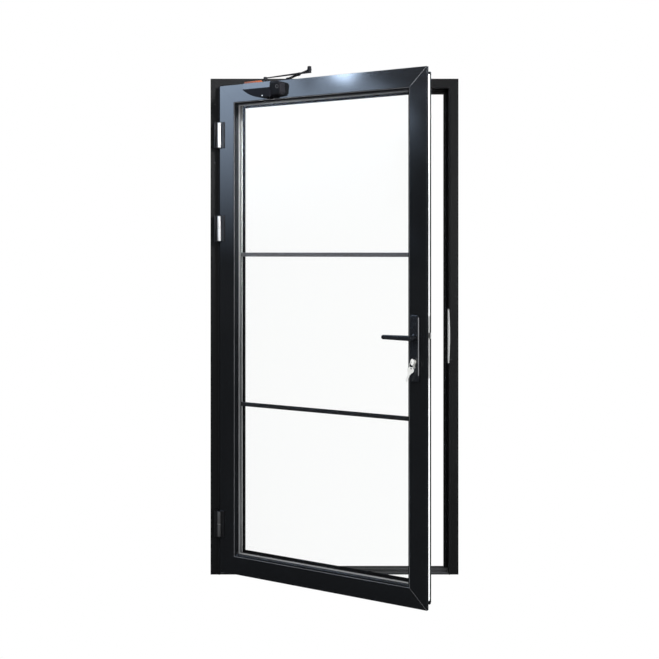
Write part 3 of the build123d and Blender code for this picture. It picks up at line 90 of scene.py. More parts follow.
@dataclass(frozen=True)
class DoorPlan:
    """The construction's main places, in millimetres on the shut leaf."""

    frame_half: float = 525.0
    frame_height: float = 2100.0
    frame_front: float = -35.0
    wall_x: float = 483.0
    stop_front: float = 13.0
    sill_step: float = 8.0
    sill_top: float = 17.0
    plug_heights: tuple[float, ...] = (1744.0, 1991.0)
    leaf_half: float = 488.0
    leaf_front: float = -53.0
    leaf_back: float = 9.0
    leaf_bottom: float = 18.0
    leaf_top: float = 2065.0
    face_break: float = 72.0
    back_break: float = 65.2
    sight_line: float = 82.0
    bead_line: float = 92.0
    front_lip: float = -32.9
    back_lip: float = -2.0
    spacer_line: float = 86.0
    spacer_front: float = -24.0
    spacer_back: float = -10.0
    drain_x: float = 300.0
    sweep_half: float = 473.0
    hinge_x: float = -486.0
    hinge_y: float = -61.0
    hinge_heights: tuple[float, ...] = (221.0, 1465.0, 1858.0)
    barrel_half: float = 52.0
    barrel_gap: float = 0.6
    wing_x: float = -470.4
    block_x: float = -500.0
    open_angle: float = 31.7
    lock_x: float = 439.0
    lever_z: float = 1043.0
    cylinder_z: float = 952.0
    plate_top: float = 1128.0
    plate_bottom: float = 876.0
    plate_depth: float = 9.0
    faceplate_x: float = 475.0
    faceplate_y: float = -15.0
    faceplate_z: float = 1004.0
    strike_z: float = 1010.0
    closer_x0: float = -341.0
    closer_joint: float = -206.0
    closer_low: float = 1998.0
    closer_top: float = 2060.0
    closer_front: float = -93.0
    spindle_x: float = -236.0
    spindle_y: float = -77.0
    cap_ring_z: float = 2036.0
    shoe_x: float = -196.0
    shoe_z: float = 2068.4

    def swing(self) -> Matrix:
        """The turn from the shut leaf to the leaf at rest.

        Returns:
            A matrix in metres that turns about the hinges' axis.
        """
        there = Matrix.Translation((self.hinge_x * MM, self.hinge_y * MM, 0.0))
        turn = Matrix.Rotation(math.radians(-self.open_angle), 4, "Z")
        return there @ turn @ there.inverted()


PLAN = DoorPlan()


# Finishes


def new_material(name: str) -> tuple[bpy.types.Material, Any]:
    """Start a material that is made of nodes.

    Args:
        name: Its name.

    Returns:
        The material and its node tree.
    """
    material = bpy.data.materials.new(name)
    material.use_nodes = True
    return material, material.node_tree


def set_sockets(tree: Any, node: Any, values: dict[Any, Any]) -> None:
    """Set or link some of a node's inputs.

    Args:
        tree: The node's tree.
        node: The node.
        values: By input, its value or the output that it is linked to.
    """
    for name, value in values.items():
        if isinstance(value, bpy.types.NodeSocket):
            tree.links.new(value, node.inputs[name])
        else:
            node.inputs[name].default_value = value


def add_node(tree: Any, kind: str, values: dict[Any, Any], **settings: str) -> Any:
    """Add a node to a tree.

    Args:
        tree: The tree.
        kind: The node's type.
        values: Its inputs, as set_sockets takes them.
        **settings: Its modes, which are set before its inputs.

    Returns:
        The node.
    """
    node = tree.nodes.new(kind)
    for name, setting in settings.items():
        setattr(node, name, setting)
    set_sockets(tree, node, values)
    return node


@dataclass(frozen=True)
class Finish:
    """A procedural finish: a coat with its grain, its bumps and its wear.

    Attributes:
        name: The material's name.
        colour: Linear base colour.
        rough: Roughness of the clean surface.
        metal: How much of it is metal, from 0 to 1.
        grain: How far the noise moves the roughness.
        bump: Strength of the surface's bumps.
        scale: Size of the noise, in cells for each metre.
        stretch: How much the noise is drawn out along each axis.
        specular: Level of the dielectric's reflection.
        shade: How far the broad noise darkens and lightens the colour, as a share.
    """

    name: str
    colour: RGB
    rough: float = 0.4
    metal: float = 0.0
    grain: float = 0.06
    bump: float = 0.02
    scale: float = 160.0
    stretch: Point = (1.0, 1.0, 1.0)
    specular: float = 0.5
    shade: float = 0.12

    @cache
    def build(self) -> bpy.types.Material:
        """Make the material, once for each finish.

        Returns:
            The Blender material.
        """
        material, tree = new_material(f"{self.name}_finish")
        places = add_node(tree, "ShaderNodeTexCoord", {}).outputs["Object"]
        drawn = add_node(tree, "ShaderNodeMapping", {
            "Vector": places, "Scale": self.stretch,
        }).outputs["Vector"]
        fine = add_node(tree, "ShaderNodeTexNoise", {
            "Vector": drawn, "Scale": self.scale, "Detail": 4.0,
        }).outputs["Fac"]
        broad = add_node(tree, "ShaderNodeTexNoise", {
            "Vector": drawn, "Scale": max(self.scale / 40.0, 2.0), "Detail": 3.0,
        }).outputs["Fac"]
        rough = add_node(tree, "ShaderNodeMapRange", {
            "Value": fine, "To Min": max(self.rough - self.grain, 0.02),
            "To Max": min(self.rough + self.grain, 1.0),
        })
        low = [c * (1.0 - self.shade) for c in self.colour]
        high = [min(c * (1.0 + self.shade), 1.0) for c in self.colour]
        tone = add_node(tree, "ShaderNodeMix", {
            "Factor": broad, "A": (*low, 1.0), "B": (*high, 1.0),
        }, data_type="RGBA")
        bump = add_node(tree, "ShaderNodeBump", {
            "Strength": self.bump, "Distance": 0.0004, "Height": fine,
        })
        set_sockets(tree, tree.nodes["Principled BSDF"], {
            "Base Color": tone.outputs["Result"], "Metallic": self.metal,
            "Roughness": rough.outputs["Result"], "Specular IOR Level": self.specular,
            "Normal": bump.outputs["Normal"],
        })
        return material


@dataclass(frozen=True)
class GlassFinish:
    """Clear float glass: nearly nothing face on, and a faint mirror at its surface.

    Attributes:
        name: The material's name.
        tint: Colour that passes through it.
        mirror: Strength of its reflection, as a share of a full one.
    """

    name: str
    tint: RGB
    mirror: float

    @cache
    def build(self) -> bpy.types.Material:
        """Make the material, once for each finish.

        Returns:
            The Blender material.
        """
        material, tree = new_material(f"{self.name}_finish")
        tree.nodes.remove(tree.nodes["Principled BSDF"])
        places = add_node(tree, "ShaderNodeTexCoord", {}).outputs["Object"]
        ripple = add_node(tree, "ShaderNodeTexNoise", {
            "Vector": places, "Scale": 1.6, "Detail": 1.0,
        })
        bump = add_node(tree, "ShaderNodeBump", {
            "Strength": 0.02, "Distance": 0.002, "Height": ripple.outputs["Fac"],
        })
        clear = add_node(tree, "ShaderNodeBsdfTransparent", {"Color": (*self.tint, 1.0)})
        gloss = add_node(tree, "ShaderNodeBsdfGlossy", {
            "Roughness": 0.01, "Normal": bump.outputs["Normal"],
        })
        fresnel = add_node(tree, "ShaderNodeFresnel", {"IOR": 1.5})
        amount = add_node(tree, "ShaderNodeMath", {
            0: fresnel.outputs["Fac"], 1: self.mirror,
        }, operation="MULTIPLY")
        mix = add_node(tree, "ShaderNodeMixShader", {
            "Fac": amount.outputs["Value"], 1: clear.outputs["BSDF"], 2: gloss.outputs["BSDF"],
        })
        set_sockets(tree, tree.nodes["Material Output"], {"Surface": mix.outputs["Shader"]})
        return material


FRAME_COAT = Finish(
    "frame_powder_coat", (0.0075, 0.0075, 0.0078), 0.42, bump=0.05, scale=420.0, specular=0.22,
)
LEAF_COAT = Finish(
    "leaf_powder_coat", (0.0082, 0.0090, 0.0104), 0.08, grain=0.02, bump=0.008, scale=300.0,
    specular=0.62,
)
BEAD_COAT = Finish("bead_powder_coat", (0.010, 0.0105, 0.012), 0.30, bump=0.03, scale=400.0)
SEAL = Finish("seal_rubber", (0.009, 0.009, 0.0095), 0.62, bump=0.10, scale=500.0, specular=0.15)
# Light grey on the front seal's lips: a painted highlight where the black rubber catches the
# light.
HIGHLIT_LIP = Finish("seal_lip_painted_highlight", (0.36, 0.36, 0.37), 0.30, bump=0.01, scale=500.0, specular=0.6)
# Pale grey for fine lines: painted highlights along the leaf's inner bevel and the front plate's
# rounding, and the paler mitres on the leaf's free side.
PALE_LINE = Finish("pale_line", (0.22, 0.22, 0.23), 0.40, bump=0.08, scale=300.0, shade=0.5)
EDGE = Finish("edge_aluminium", (0.80, 0.80, 0.81), 0.5, bump=0.05, scale=700.0,
              stretch=(1.0, 1.0, 0.03), specular=0.12)
# The sleeves' light grey stands for the barrels' bright metal and a painted highlight; the darker
# copy is painted shade for the lowest hinge.
BARREL = Finish("hinge_barrel", (0.42, 0.42, 0.43), 0.42, metal=0.3, bump=0.03, scale=600.0,
                stretch=(1.0, 1.0, 0.05))
SHADED_BARREL = Finish("barrel_painted_shade", (0.09, 0.09, 0.092), 0.42, metal=0.3, bump=0.03, scale=600.0,
                     stretch=(1.0, 1.0, 0.05))
SATIN = Finish("satin_aluminium", (0.50, 0.51, 0.53), 0.34, metal=1.0, bump=0.06, scale=700.0,
               stretch=(1.0, 1.0, 0.03))
SPACER = Finish("spacer_aluminium", (0.52, 0.525, 0.53), 0.34, metal=0.15, bump=0.05, scale=600.0,
                stretch=(1.0, 1.0, 0.05))
SILL = Finish("sill_aluminium", (0.075, 0.076, 0.078), 0.40, metal=0.6, bump=0.08, scale=600.0,
              stretch=(0.03, 1.0, 1.0), shade=0.2)
# A lighter copy of the threshold's aluminium: painted highlight for its bands.
SILL_HIGHLIGHT = Finish("sill_painted_highlight", (0.11, 0.11, 0.112), 0.42, metal=0.4, bump=0.08, scale=600.0,
               stretch=(0.03, 1.0, 1.0), shade=0.35)
STRIKE = Finish("strike_steel", (0.52, 0.52, 0.515), 0.42, metal=0.3, bump=0.06, scale=800.0,
                stretch=(1.0, 1.0, 0.04), shade=0.16)
ZINC = Finish("zinc_plate", (0.46, 0.46, 0.45), 0.38, metal=0.5, bump=0.05, scale=500.0)
HINGE = Finish("hinge_black", (0.011, 0.011, 0.012), 0.35, bump=0.02, scale=300.0, specular=0.3)
HANDLE = Finish("handle_black", (0.010, 0.011, 0.014), 0.26, bump=0.03, scale=380.0, specular=0.6)
NICKEL = Finish("satin_nickel", (0.66, 0.65, 0.62), 0.28, metal=0.6, bump=0.04, scale=700.0)
KEY = Finish("key_nickel", (0.80, 0.80, 0.78), 0.30, metal=0.15, bump=0.03, scale=600.0)
CLOSER = Finish("closer_black", (0.006, 0.006, 0.008), 0.14, grain=0.03, bump=0.012, scale=300.0,
                specular=0.2)
CLOSER_PLASTIC = Finish(
    "closer_plastic", (0.005, 0.005, 0.006), 0.52, bump=0.03, scale=340.0, specular=0.12,
)
ARM = Finish("arm_black", (0.006, 0.006, 0.007), 0.36, bump=0.04, scale=420.0, specular=0.2)
PLASTIC_BLACK = Finish("plastic_black", (0.018, 0.018, 0.019), 0.5, bump=0.04, scale=400.0)
PLASTIC_WHITE = Finish("plastic_white", (0.62, 0.62, 0.60), 0.5, bump=0.04, scale=400.0)
BAR_GREY = Finish("bar_grey", (0.085, 0.083, 0.086), 0.42, bump=0.04, scale=420.0)
BAR_BLACK = Finish("bar_black", (0.012, 0.012, 0.013), 0.42, bump=0.04, scale=420.0)
SEAM = Finish("seam_shadow", (0.0015, 0.0015, 0.0015), 0.9, specular=0.1)
AMBER = Finish("amber_strip", (0.24, 0.058, 0.018), 0.45, bump=0.04, scale=420.0)
GLASS = GlassFinish("float_glass", (0.997, 0.999, 0.998), 0.12)

AnyFinish = Finish | GlassFinish

# Each finish with the pieces of the construction that have it.
FINISH_GROUPS: tuple[tuple[AnyFinish, str], ...] = (
    (FRAME_COAT, "jamb_hinge_side jamb_lock_side frame_head"),
    (SILL, "threshold"),
    (SEAL, "frame_face_seal frame_stop_seal glazing_seal_outer glazing_seal_inner bottom_sweep"),
    (SATIN, "frame_corner_cleats leaf_corner_cleats"),
    (STRIKE, "strike_plate lock_faceplate"),
    (PLASTIC_BLACK, "fixing_caps setting_blocks"),
    (HINGE, (
        "hinge_frame_part_bottom hinge_frame_part_middle hinge_frame_part_top "
        "hinge_leaf_part_bottom hinge_leaf_part_middle hinge_leaf_part_top"
    )),
    (ZINC, "hinge_pins lock_case lever_spindle latch_bolt dead_bolt closer_screws"),
    (PLASTIC_WHITE, "hinge_bushes"),
    (LEAF_COAT, "stile_hinge_side stile_lock_side rail_top rail_bottom"),
    (BEAD_COAT, "glazing_bead_hinge glazing_bead_lock glazing_bead_top glazing_bead_bottom"),
    (GLASS, "glass_outer_pane glass_inner_pane"),
    (SPACER, "glass_spacer"),
    (BAR_BLACK, "glazing_bar_lower"),
    (BAR_GREY, "glazing_bar_upper"),
    (EDGE, "edge_cover_strips"),
    (NICKEL, "lock_cylinder cylinder_plug"),
    (HANDLE, "handle_plate_front handle_plate_back lever_front lever_back"),
    (KEY, "key key_ring spare_key"),
    (CLOSER, "closer_body"),
    (CLOSER_PLASTIC, "closer_cap"),
    (ARM, (
        "closer_spindle closer_main_arm closer_forearm_tube closer_forearm_rod "
        "closer_elbow_screw closer_shoe"
    )),
)
CAD_FINISHES = {name: finish for finish, names in FINISH_GROUPS for name in names.split()}


# Making pieces


def free_to_mesh(bm: bmesh.types.BMesh, name: str) -> bpy.types.Mesh:
    """Turn a bmesh into a mesh, and free it.

    Args:
        bm: The bmesh.
        name: The mesh's name.

    Returns:
        The mesh.
    """
    mesh = bpy.data.meshes.new(name)
    bm.to_mesh(mesh)
    bm.free()
    return mesh


def put_in_scene(name: str, data: Any) -> bpy.types.Object:
    """Make an object and link it to the scene.

    Args:
        name: Its name.
        data: Its mesh, light or camera.

    Returns:
        The object.
    """
    made = bpy.data.objects.new(name, data)
    bpy.context.scene.collection.objects.link(made)
    return made


def add_face(bm: bmesh.types.BMesh, corners: Sequence[Any]) -> None:
    """Add one face with its own vertices.

    Args:
        bm: The mesh that takes the face.
        corners: Its corners in turn.
    """
    bm.faces.new([bm.verts.new(v) for v in corners])


def bridge(bm: bmesh.types.BMesh, a: Sequence[Any], b: Sequence[Any], ring: bool = False) -> None:
    """Fill the strip between two rows of vertices.

    Args:
        bm: The mesh that takes the faces.
        a: One row.
        b: The other row, with as many vertices.
        ring: Whether the rows come back to their start.
    """
    for j in range(len(a) if ring else len(a) - 1):
        k = (j + 1) % len(a)
        bm.faces.new((a[j], a[k], b[k], b[j]))


def finish_piece(
    name: str,
    bm: bmesh.types.BMesh,
    finish: AnyFinish,
    body: str,
    place: Optional[Matrix] = None,
    smooth: float = SMOOTH_LIMIT,
) -> bpy.types.Object:
    """Turn a bmesh in millimetres into a piece of the door.

    Args:
        name: The piece's name.
        bm: Its mesh, which is freed.
        finish: Its finish.
        body: The moving body that it rides on.
        place: A matrix in metres, applied to the vertices.
        smooth: Edges flatter than this many degrees are shaded smooth.

    Returns:
        The piece, at the origin and unturned.
    """
    bmesh.ops.transform(bm, matrix=Matrix.Scale(MM, 4), verts=bm.verts)
    if place is not None:
        bmesh.ops.transform(bm, matrix=place, verts=bm.verts)
    bmesh.ops.recalc_face_normals(bm, faces=bm.faces)
    for edge in bm.edges:
        faces = edge.link_faces
        sharp = len(faces) != 2 or edge.calc_face_angle(0.0) > math.radians(smooth)
        edge.smooth = not sharp
    for face in bm.faces:
        face.smooth = True
    mesh = free_to_mesh(bm, name)
    mesh.materials.append(finish.build())
    piece = put_in_scene(name, mesh)
    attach(piece, body)
    return piece


def lathe(bm: bmesh.types.BMesh, profile: Pairs, at: Matrix, steps: int = 40) -> None:
    """Spin a profile of (radius, height) pairs about a frame's Z, into a bmesh in millimetres.

    Args:
        bm: The mesh that takes the new faces.
        profile: Radii and heights, from the axis out and back.
        at: Where the axis stands, with its place in millimetres.
        steps: Faces round the turn.
    """
    verts = [bm.verts.new(at @ Vector((r, 0.0, h))) for r, h in profile]
    edges = [bm.edges.new(pair) for pair in zip(verts[:-1], verts[1:])]
    axis = (at.to_3x3() @ Vector((0.0, 0.0, 1.0))).normalized()
    bmesh.ops.spin(
        bm, geom=verts + edges, cent=at.translation, axis=axis, dvec=(0.0, 0.0, 0.0),
        angle=math.tau, steps=steps, use_merge=True, use_duplicate=False,
    )
    bmesh.ops.remove_doubles(bm, verts=bm.verts, dist=WELD)


def bevelled_box(
    bm: bmesh.types.BMesh, low: Point, high: Point, bevel: float = 0.0, segments: int = 2
) -> None:
    """Add a box between two corners, with its edges bevelled, in millimetres.

    Args:
        bm: The mesh that takes the box.
        low: Its lowest corner.
        high: Its highest corner.
        bevel: Width of the bevels.
        segments: Faces across each bevel.
    """
    size = Vector(high) - Vector(low)
    middle = (Vector(high) + Vector(low)) / 2
    place = Matrix.Translation(middle) @ Matrix.Diagonal((*size, 1.0))
    made = bmesh.ops.create_cube(bm, size=1.0, matrix=place)
    if bevel > 0:
        edges = list({edge for vert in made["verts"] for edge in vert.link_edges})
        bmesh.ops.bevel(
            bm, geom=edges, offset=bevel, offset_type="OFFSET", affect="EDGES",
            segments=segments, profile=0.5, material=-1,
        )


def face_frame(at: Point, out: Point) -> Matrix:
    """A frame on a face, with its Z out of the face, in millimetres.

    Args:
        at: The place on the face.
        out: The way out of the face.

    Returns:
        The frame as a matrix.
    """
    z = Vector(out).normalized()
    side = Vector((0.0, 0.0, 1.0)) if abs(z.z) < 0.9 else Vector((0.0, 1.0, 0.0))
    x = side.cross(z).normalized()
    place = Matrix((x, z.cross(x), z)).transposed().to_4x4()
    place.translation = Vector(at)
    return place


def screw_into(
    bm: bmesh.types.BMesh, at: Point, out: Point, radius: float, drive: Drive, rise: float
) -> None:
    """Add a countersunk screw's head with its recess, in millimetres.

    Args:
        bm: The mesh that takes the head.
        at: Its middle on the face.
        out: The way out of the face.
        radius: Its radius.
        drive: Its recess.
        rise: How far its rim stands proud.
    """
    frame = face_frame(at, out)
    share, steps = drive.value
    inner, floor = radius * share, rise * 0.9 - radius * 0.4
    lathe(bm, [
        (inner, floor), (inner, rise * 0.92), (radius * 0.75, rise),
        (radius * 0.96, rise * 0.7), (radius, 0.0), (radius * 0.9, -0.8),
    ], frame, steps)
    lathe(bm, [(0.0, floor), (inner, floor)], frame, steps)
    if drive is Drive.CROSS:
        long, wide = radius * 0.62, radius * 0.1
        for turn in (0.0, math.pi / 2):
            arm = bmesh.new()
            bevelled_box(arm, (-long, -wide, rise * 0.55), (long, wide, rise + 0.04))
            place = frame @ Matrix.Rotation(turn, 4, "Z")
            bmesh.ops.transform(arm, matrix=place, verts=arm.verts)
            spare = free_to_mesh(arm, "arm")
            bm.from_mesh(spare)
            bpy.data.meshes.remove(spare)


def sweep_strip(
    bm: bmesh.types.BMesh, section: Pairs, corners: Sequence[Point], outward: Sequence[Point],
    closed: bool,
) -> None:
    """Run an open section along a path of corners, mitred at each, in millimetres.

    Args:
        bm: The mesh that takes the strip.
        section: Points as (outward, into the wall).
        corners: The path's corners.
        outward: The mitre direction at each corner, already lengthened for the mitre.
        closed: Whether the path comes back to its start.
    """
    into = Vector((0.0, 1.0, 0.0))
    rows = []
    for corner, out in zip(corners, outward):
        base = Vector(corner)
        rows.append([bm.verts.new(base + Vector(out) * u + into * v) for u, v in section])
    for i in range(len(rows) if closed else len(rows) - 1):
        bridge(bm, rows[i], rows[(i + 1) % len(rows)])


# Sub-assemblies


@dataclass
class Assembly:
    """A group of fittings that ride on one body.

    Attributes:
        name: The group's name, which starts its pieces' names.
        body: The moving body that it rides on.
        made: The pieces made so far.
    """

    name: str
    body: str
    made: list[bpy.types.Object] = field(default_factory=list)

    def place(self) -> Optional[Matrix]:
        """The turn from where the group is drawn to the row frame, or None."""
        return None

    def add(
        self, part: str, bm: bmesh.types.BMesh, finish: AnyFinish, slot: str,
        smooth: float = SMOOTH_LIMIT,
    ) -> None:
        """Make one piece of the group.

        Args:
            part: The piece's own name.
            bm: Its mesh in millimetres.
            finish: Its finish.
            slot: The record's material slot; not used.
            smooth: The smooth shading's limit, in degrees.
        """
        name = f"{self.name}_{part}"
        self.made.append(finish_piece(name, bm, finish, self.body, self.place(), smooth))


@dataclass
class LeafAssembly(Assembly):
    """A group that is drawn on the shut leaf."""

    def place(self) -> Optional[Matrix]:
        """The leaf's turn from shut to its rest."""
        return PLAN.swing()


@dataclass
class FrameFittings(Assembly):
    """What is fixed in the frame: screws, seal, seams, ribs, plugs and painted highlight bands."""

    def build(self) -> None:
        """Make every piece of the group."""
        self.strike_screws()
        self.gutter_seal()
        self.seams()
        self.seal_ribs()
        self.jamb_plugs()
        self.sill_highlight_bands()

    def sill_highlight_bands(self) -> None:
        """Lighter bands along the threshold's top: painted highlights where its steps catch the
        light.
        """
        bm = bmesh.new()
        half, front = PLAN.wall_x - 0.6, PLAN.frame_front
        step, top = PLAN.sill_step, PLAN.sill_top
        for start, stop, z in ((3.2, 17.6, step), (25.2, 32.6, top), (35.4, 41.6, top)):
            bevelled_box(bm, (-half, front + start, z - 0.3), (half, front + stop, z + 0.15))
        self.add("sill_highlight_bands", bm, SILL_HIGHLIGHT, "bare_aluminium")

    def strike_screws(self) -> None:
        """The two countersunk screws through the strike's leg."""
        bm = bmesh.new()
        x, y = PLAN.wall_x - 1.5, PLAN.faceplate_y - 2.0
        for z in (PLAN.strike_z - 101.0, PLAN.strike_z + 101.0):
            screw_into(bm, (x, y, z), (-1.0, 0.0, 0.0), 3.9, Drive.CROSS, 0.35)
        self.add("strike_screws", bm, ZINC, "lock_steel")

    def gutter_seal(self) -> None:
        """The rubber strip in the threshold's gutter, with its two lips."""
        bm = bmesh.new()
        half, front = PLAN.wall_x - 0.4, PLAN.frame_front
        section = [(19.3, 6.0), (19.3, 7.6), (20.4, 8.4), (21.2, 7.0), (22.2, 9.6), (22.9, 9.2),
                   (22.4, 6.2)]
        rows = [[bm.verts.new((x, front + y, z)) for y, z in section] for x in (-half, half)]
        bridge(bm, *rows, ring=True)
        for row in rows:
            bm.faces.new(row)
        self.add("gutter_seal", bm, SEAL, "seal_rubber", 20.0)

    def seams(self) -> None:
        """The hairline joints at the mitres of the frame's face."""
        bm = bmesh.new()
        y, top, inset = PLAN.frame_front - PROUD, PLAN.frame_height, 0.8
        face = PLAN.frame_half - PLAN.wall_x - inset
        for side in (-1, 1):
            a = Vector((side * (PLAN.frame_half - inset), y, top - inset))
            b = Vector((side * (PLAN.frame_half - face), y, top - face))
            across = Vector((side * 0.12, 0.0, -0.12))
            add_face(bm, (a + across, a - across, b - across, b + across))
        self.add("mitre_seams", bm, SEAM, "frame_black")

    def seal_ribs(self) -> None:
        """Fine ribs along the stop's seal, up the lock side, over and down the hinge side."""
        bm = bmesh.new()
        y, low = PLAN.stop_front, PLAN.sill_top + 0.6
        out = [(1.0, 0.0, 0.0), (1.0, 0.0, -1.0), (-1.0, 0.0, -1.0), (-1.0, 0.0, 0.0)]
        for inset, rise in ((45.6, 2.6), (48.6, 3.4), (51.4, 2.6)):
            x, top = PLAN.frame_half - inset, PLAN.frame_height - inset
            path = [(-x, y, low), (-x, y, top), (x, y, top), (x, y, low)]
            foot, tip = 0.4 - rise, -rise - 0.1
            section = [(-0.5, foot), (-0.25, tip), (0.25, tip), (0.5, foot)]
            sweep_strip(bm, section, path, out, False)
        self.add("stop_seal_ribs", bm, SEAL, "seal_rubber")

    def jamb_plugs(self) -> None:
        """The small plugs on the face of the hinge jamb."""
        bm = bmesh.new()
        for z in PLAN.plug_heights:
            frame = face_frame((-PLAN.frame_half + 18.0, PLAN.frame_front, z), (0.0, -1.0, 0.0))
            lathe(bm, [(0.0, 0.55), (2.3, 0.5), (2.9, 0.2), (3.0, -0.4)], frame, 28)
        self.add("jamb_plugs", bm, PLASTIC_BLACK, "plastic_black")


@dataclass
class LeafFittings(LeafAssembly):
    """What is fixed in the leaf: seams, a painted highlight line, lips, the spacer's slots and
    small caps.
    """

    def build(self) -> None:
        """Make every piece of the group."""
        self.seams()
        self.bevel_edge()
        self.glazing_lips()
        self.spacer_seal()
        self.spacer_slots()
        self.faceplate_screws()
        self.drain_covers()
        self.sweep_ends()

    def corners(self, inset: float, y: float) -> list[Point]:
        """The leaf's four corners at an inset from the flange's edge.

        Args:
            inset: How far in from the flange's edge.
            y: Their depth.

        Returns:
            The corners, from the bottom at the hinges up and round.
        """
        x = PLAN.leaf_half - inset
        low, high = PLAN.leaf_bottom + inset, PLAN.leaf_top - inset
        return [(-x, y, low), (-x, y, high), (x, y, high), (x, y, low)]

    def ring(self, section: Pairs, inset: float, y: float) -> bmesh.types.BMesh:
        """Run a section round the leaf's opening, mitred at its corners.

        Args:
            section: Points as (towards the middle, into the wall).
            inset: How far in from the flange's edge it starts.
            y: Its depth.

        Returns:
            The ring's mesh in millimetres.
        """
        bm = bmesh.new()
        inward = [(1.0, 0.0, 1.0), (1.0, 0.0, -1.0), (-1.0, 0.0, -1.0), (-1.0, 0.0, 1.0)]
        sweep_strip(bm, section, self.corners(inset, y), inward, True)
        return bm

    def seams(self) -> None:
        """The joints at the mitres of the leaf's faces: hairlines, but wider and paler on the
        front's free side.
        """
        dark, paler = bmesh.new(), bmesh.new()
        for y, near, far in (
            (PLAN.leaf_front - PROUD, 0.9, PLAN.face_break),
            (PLAN.leaf_back + PROUD, 14.0, PLAN.back_break),
        ):
            for a, b in zip(self.corners(near, y), self.corners(far, y)):
                start, stop = Vector(a), Vector(b)
                paler_line = y < 0 and start.x > 0
                run = (stop - start).normalized()
                across = run.cross(Vector((0.0, 1.0, 0.0))) * (0.42 if paler_line else 0.12)
                quad = (start + across, start - across, stop - across, stop + across)
                add_face(paler if paler_line else dark, quad)
        self.add("mitre_seams", dark, SEAM, "leaf_black")
        self.add("pale_mitres", paler, PALE_LINE, "leaf_black")

    def bevel_edge(self) -> None:
        """A painted highlight: a pale line along the front of the leaf's inner bevel, where it
        catches the light.
        """
        line = [(0.0, 0.0), (0.5, 0.24), (1.0, 0.54)]
        bm = self.ring(line, PLAN.face_break + 1.8, PLAN.leaf_front + 0.98)
        self.add("bevel_edge", bm, PALE_LINE, "leaf_black", 50.0)

    def glazing_lips(self) -> None:
        """The rounded lips of the glazing seals against both panes; the front ones are light grey,
        a painted highlight.
        """
        arc = [math.radians(a) for a in range(0, 181, 30)]
        front = [(2.8 * math.sin(a), -1.5 * math.cos(a) + 2.2) for a in arc]
        bm = self.ring(front, PLAN.sight_line + 0.1, PLAN.front_lip)
        self.add("front_lips", bm, HIGHLIT_LIP, "seal_rubber", 50.0)
        back = [(2.2 * math.sin(a), 1.45 * math.cos(a) - 1.5) for a in arc]
        bm = self.ring(back, PLAN.bead_line + 0.6, PLAN.back_lip)
        self.add("back_lips", bm, SEAL, "seal_rubber", 50.0)

    def spacer_seal(self) -> None:
        """The black seal on the front of the spacer's inner faces, and all over the lowest."""
        inset, front = PLAN.spacer_line - 0.02, PLAN.spacer_front + 0.1
        bm = self.ring([(0.0, 0.0), (0.2, 0.1), (0.2, 8.4), (0.0, 8.5)], inset, front)
        half, low = PLAN.leaf_half - PLAN.spacer_line - 0.3, PLAN.leaf_bottom + inset
        bevelled_box(bm, (-half, front, low), (half, PLAN.spacer_back - 0.1, low + 0.22))
        self.add("spacer_seal", bm, SEAL, "seal_rubber")

    def spacer_slots(self) -> None:
        """The row of breathing slots along the spacer's inner faces."""
        bm = bmesh.new()
        step, long, wide = 14.0, 1.6, 0.5
        around = ((-1, -1), (1, -1), (1, 1), (-1, 1))
        y = (PLAN.spacer_front + PLAN.spacer_back) / 2
        corners = self.corners(PLAN.spacer_line + PROUD, y)
        (left, _, low), (right, _, high) = corners[0], corners[2]
        count = int((high - low) / step)
        for i in range(1, count):
            z = low + (high - low) * i / count
            for x in (left, right):
                add_face(bm, [(x, y + u * wide, z + v * long) for u, v in around])
        count = int((right - left) / step)
        for i in range(1, count):
            x = left + (right - left) * i / count
            for z in (low, high):
                add_face(bm, [(x + u * long, y + v * wide, z) for u, v in around])
        self.add("spacer_slots", bm, SEAM, "bare_aluminium")

    def faceplate_screws(self) -> None:
        """The two screws that hold the lock in by its faceplate."""
        bm = bmesh.new()
        x, y = PLAN.faceplate_x, PLAN.faceplate_y
        for z in (PLAN.faceplate_z - 108.0, PLAN.faceplate_z + 108.0):
            screw_into(bm, (x, y, z), (1.0, 0.0, 0.0), 3.8, Drive.CROSS, 0.2)
        self.add("faceplate_screws", bm, ZINC, "lock_steel")

    def drain_covers(self) -> None:
        """The two drain slots' covers, on the back of the bottom rail."""
        bm = bmesh.new()
        back, low = PLAN.leaf_back, PLAN.leaf_bottom + 36.0
        for x in (-PLAN.drain_x, PLAN.drain_x):
            corner = (x + 15.0, back + 2.2, low + 7.0)
            bevelled_box(bm, (x - 15.0, back - 0.05, low), corner, 1.0, 3)
        self.add("drain_covers", bm, PLASTIC_BLACK, "plastic_black")

    def sweep_ends(self) -> None:
        """The end caps of the seal under the bottom rail."""
        bm = bmesh.new()
        thick = 1.4
        for low in (-PLAN.sweep_half - thick, PLAN.sweep_half):
            bevelled_box(bm, (low, -5.4, 25.8), (low + thick, 7.4, 31.0), 0.5)
        self.add("sweep_end_caps", bm, PLASTIC_BLACK, "plastic_black")


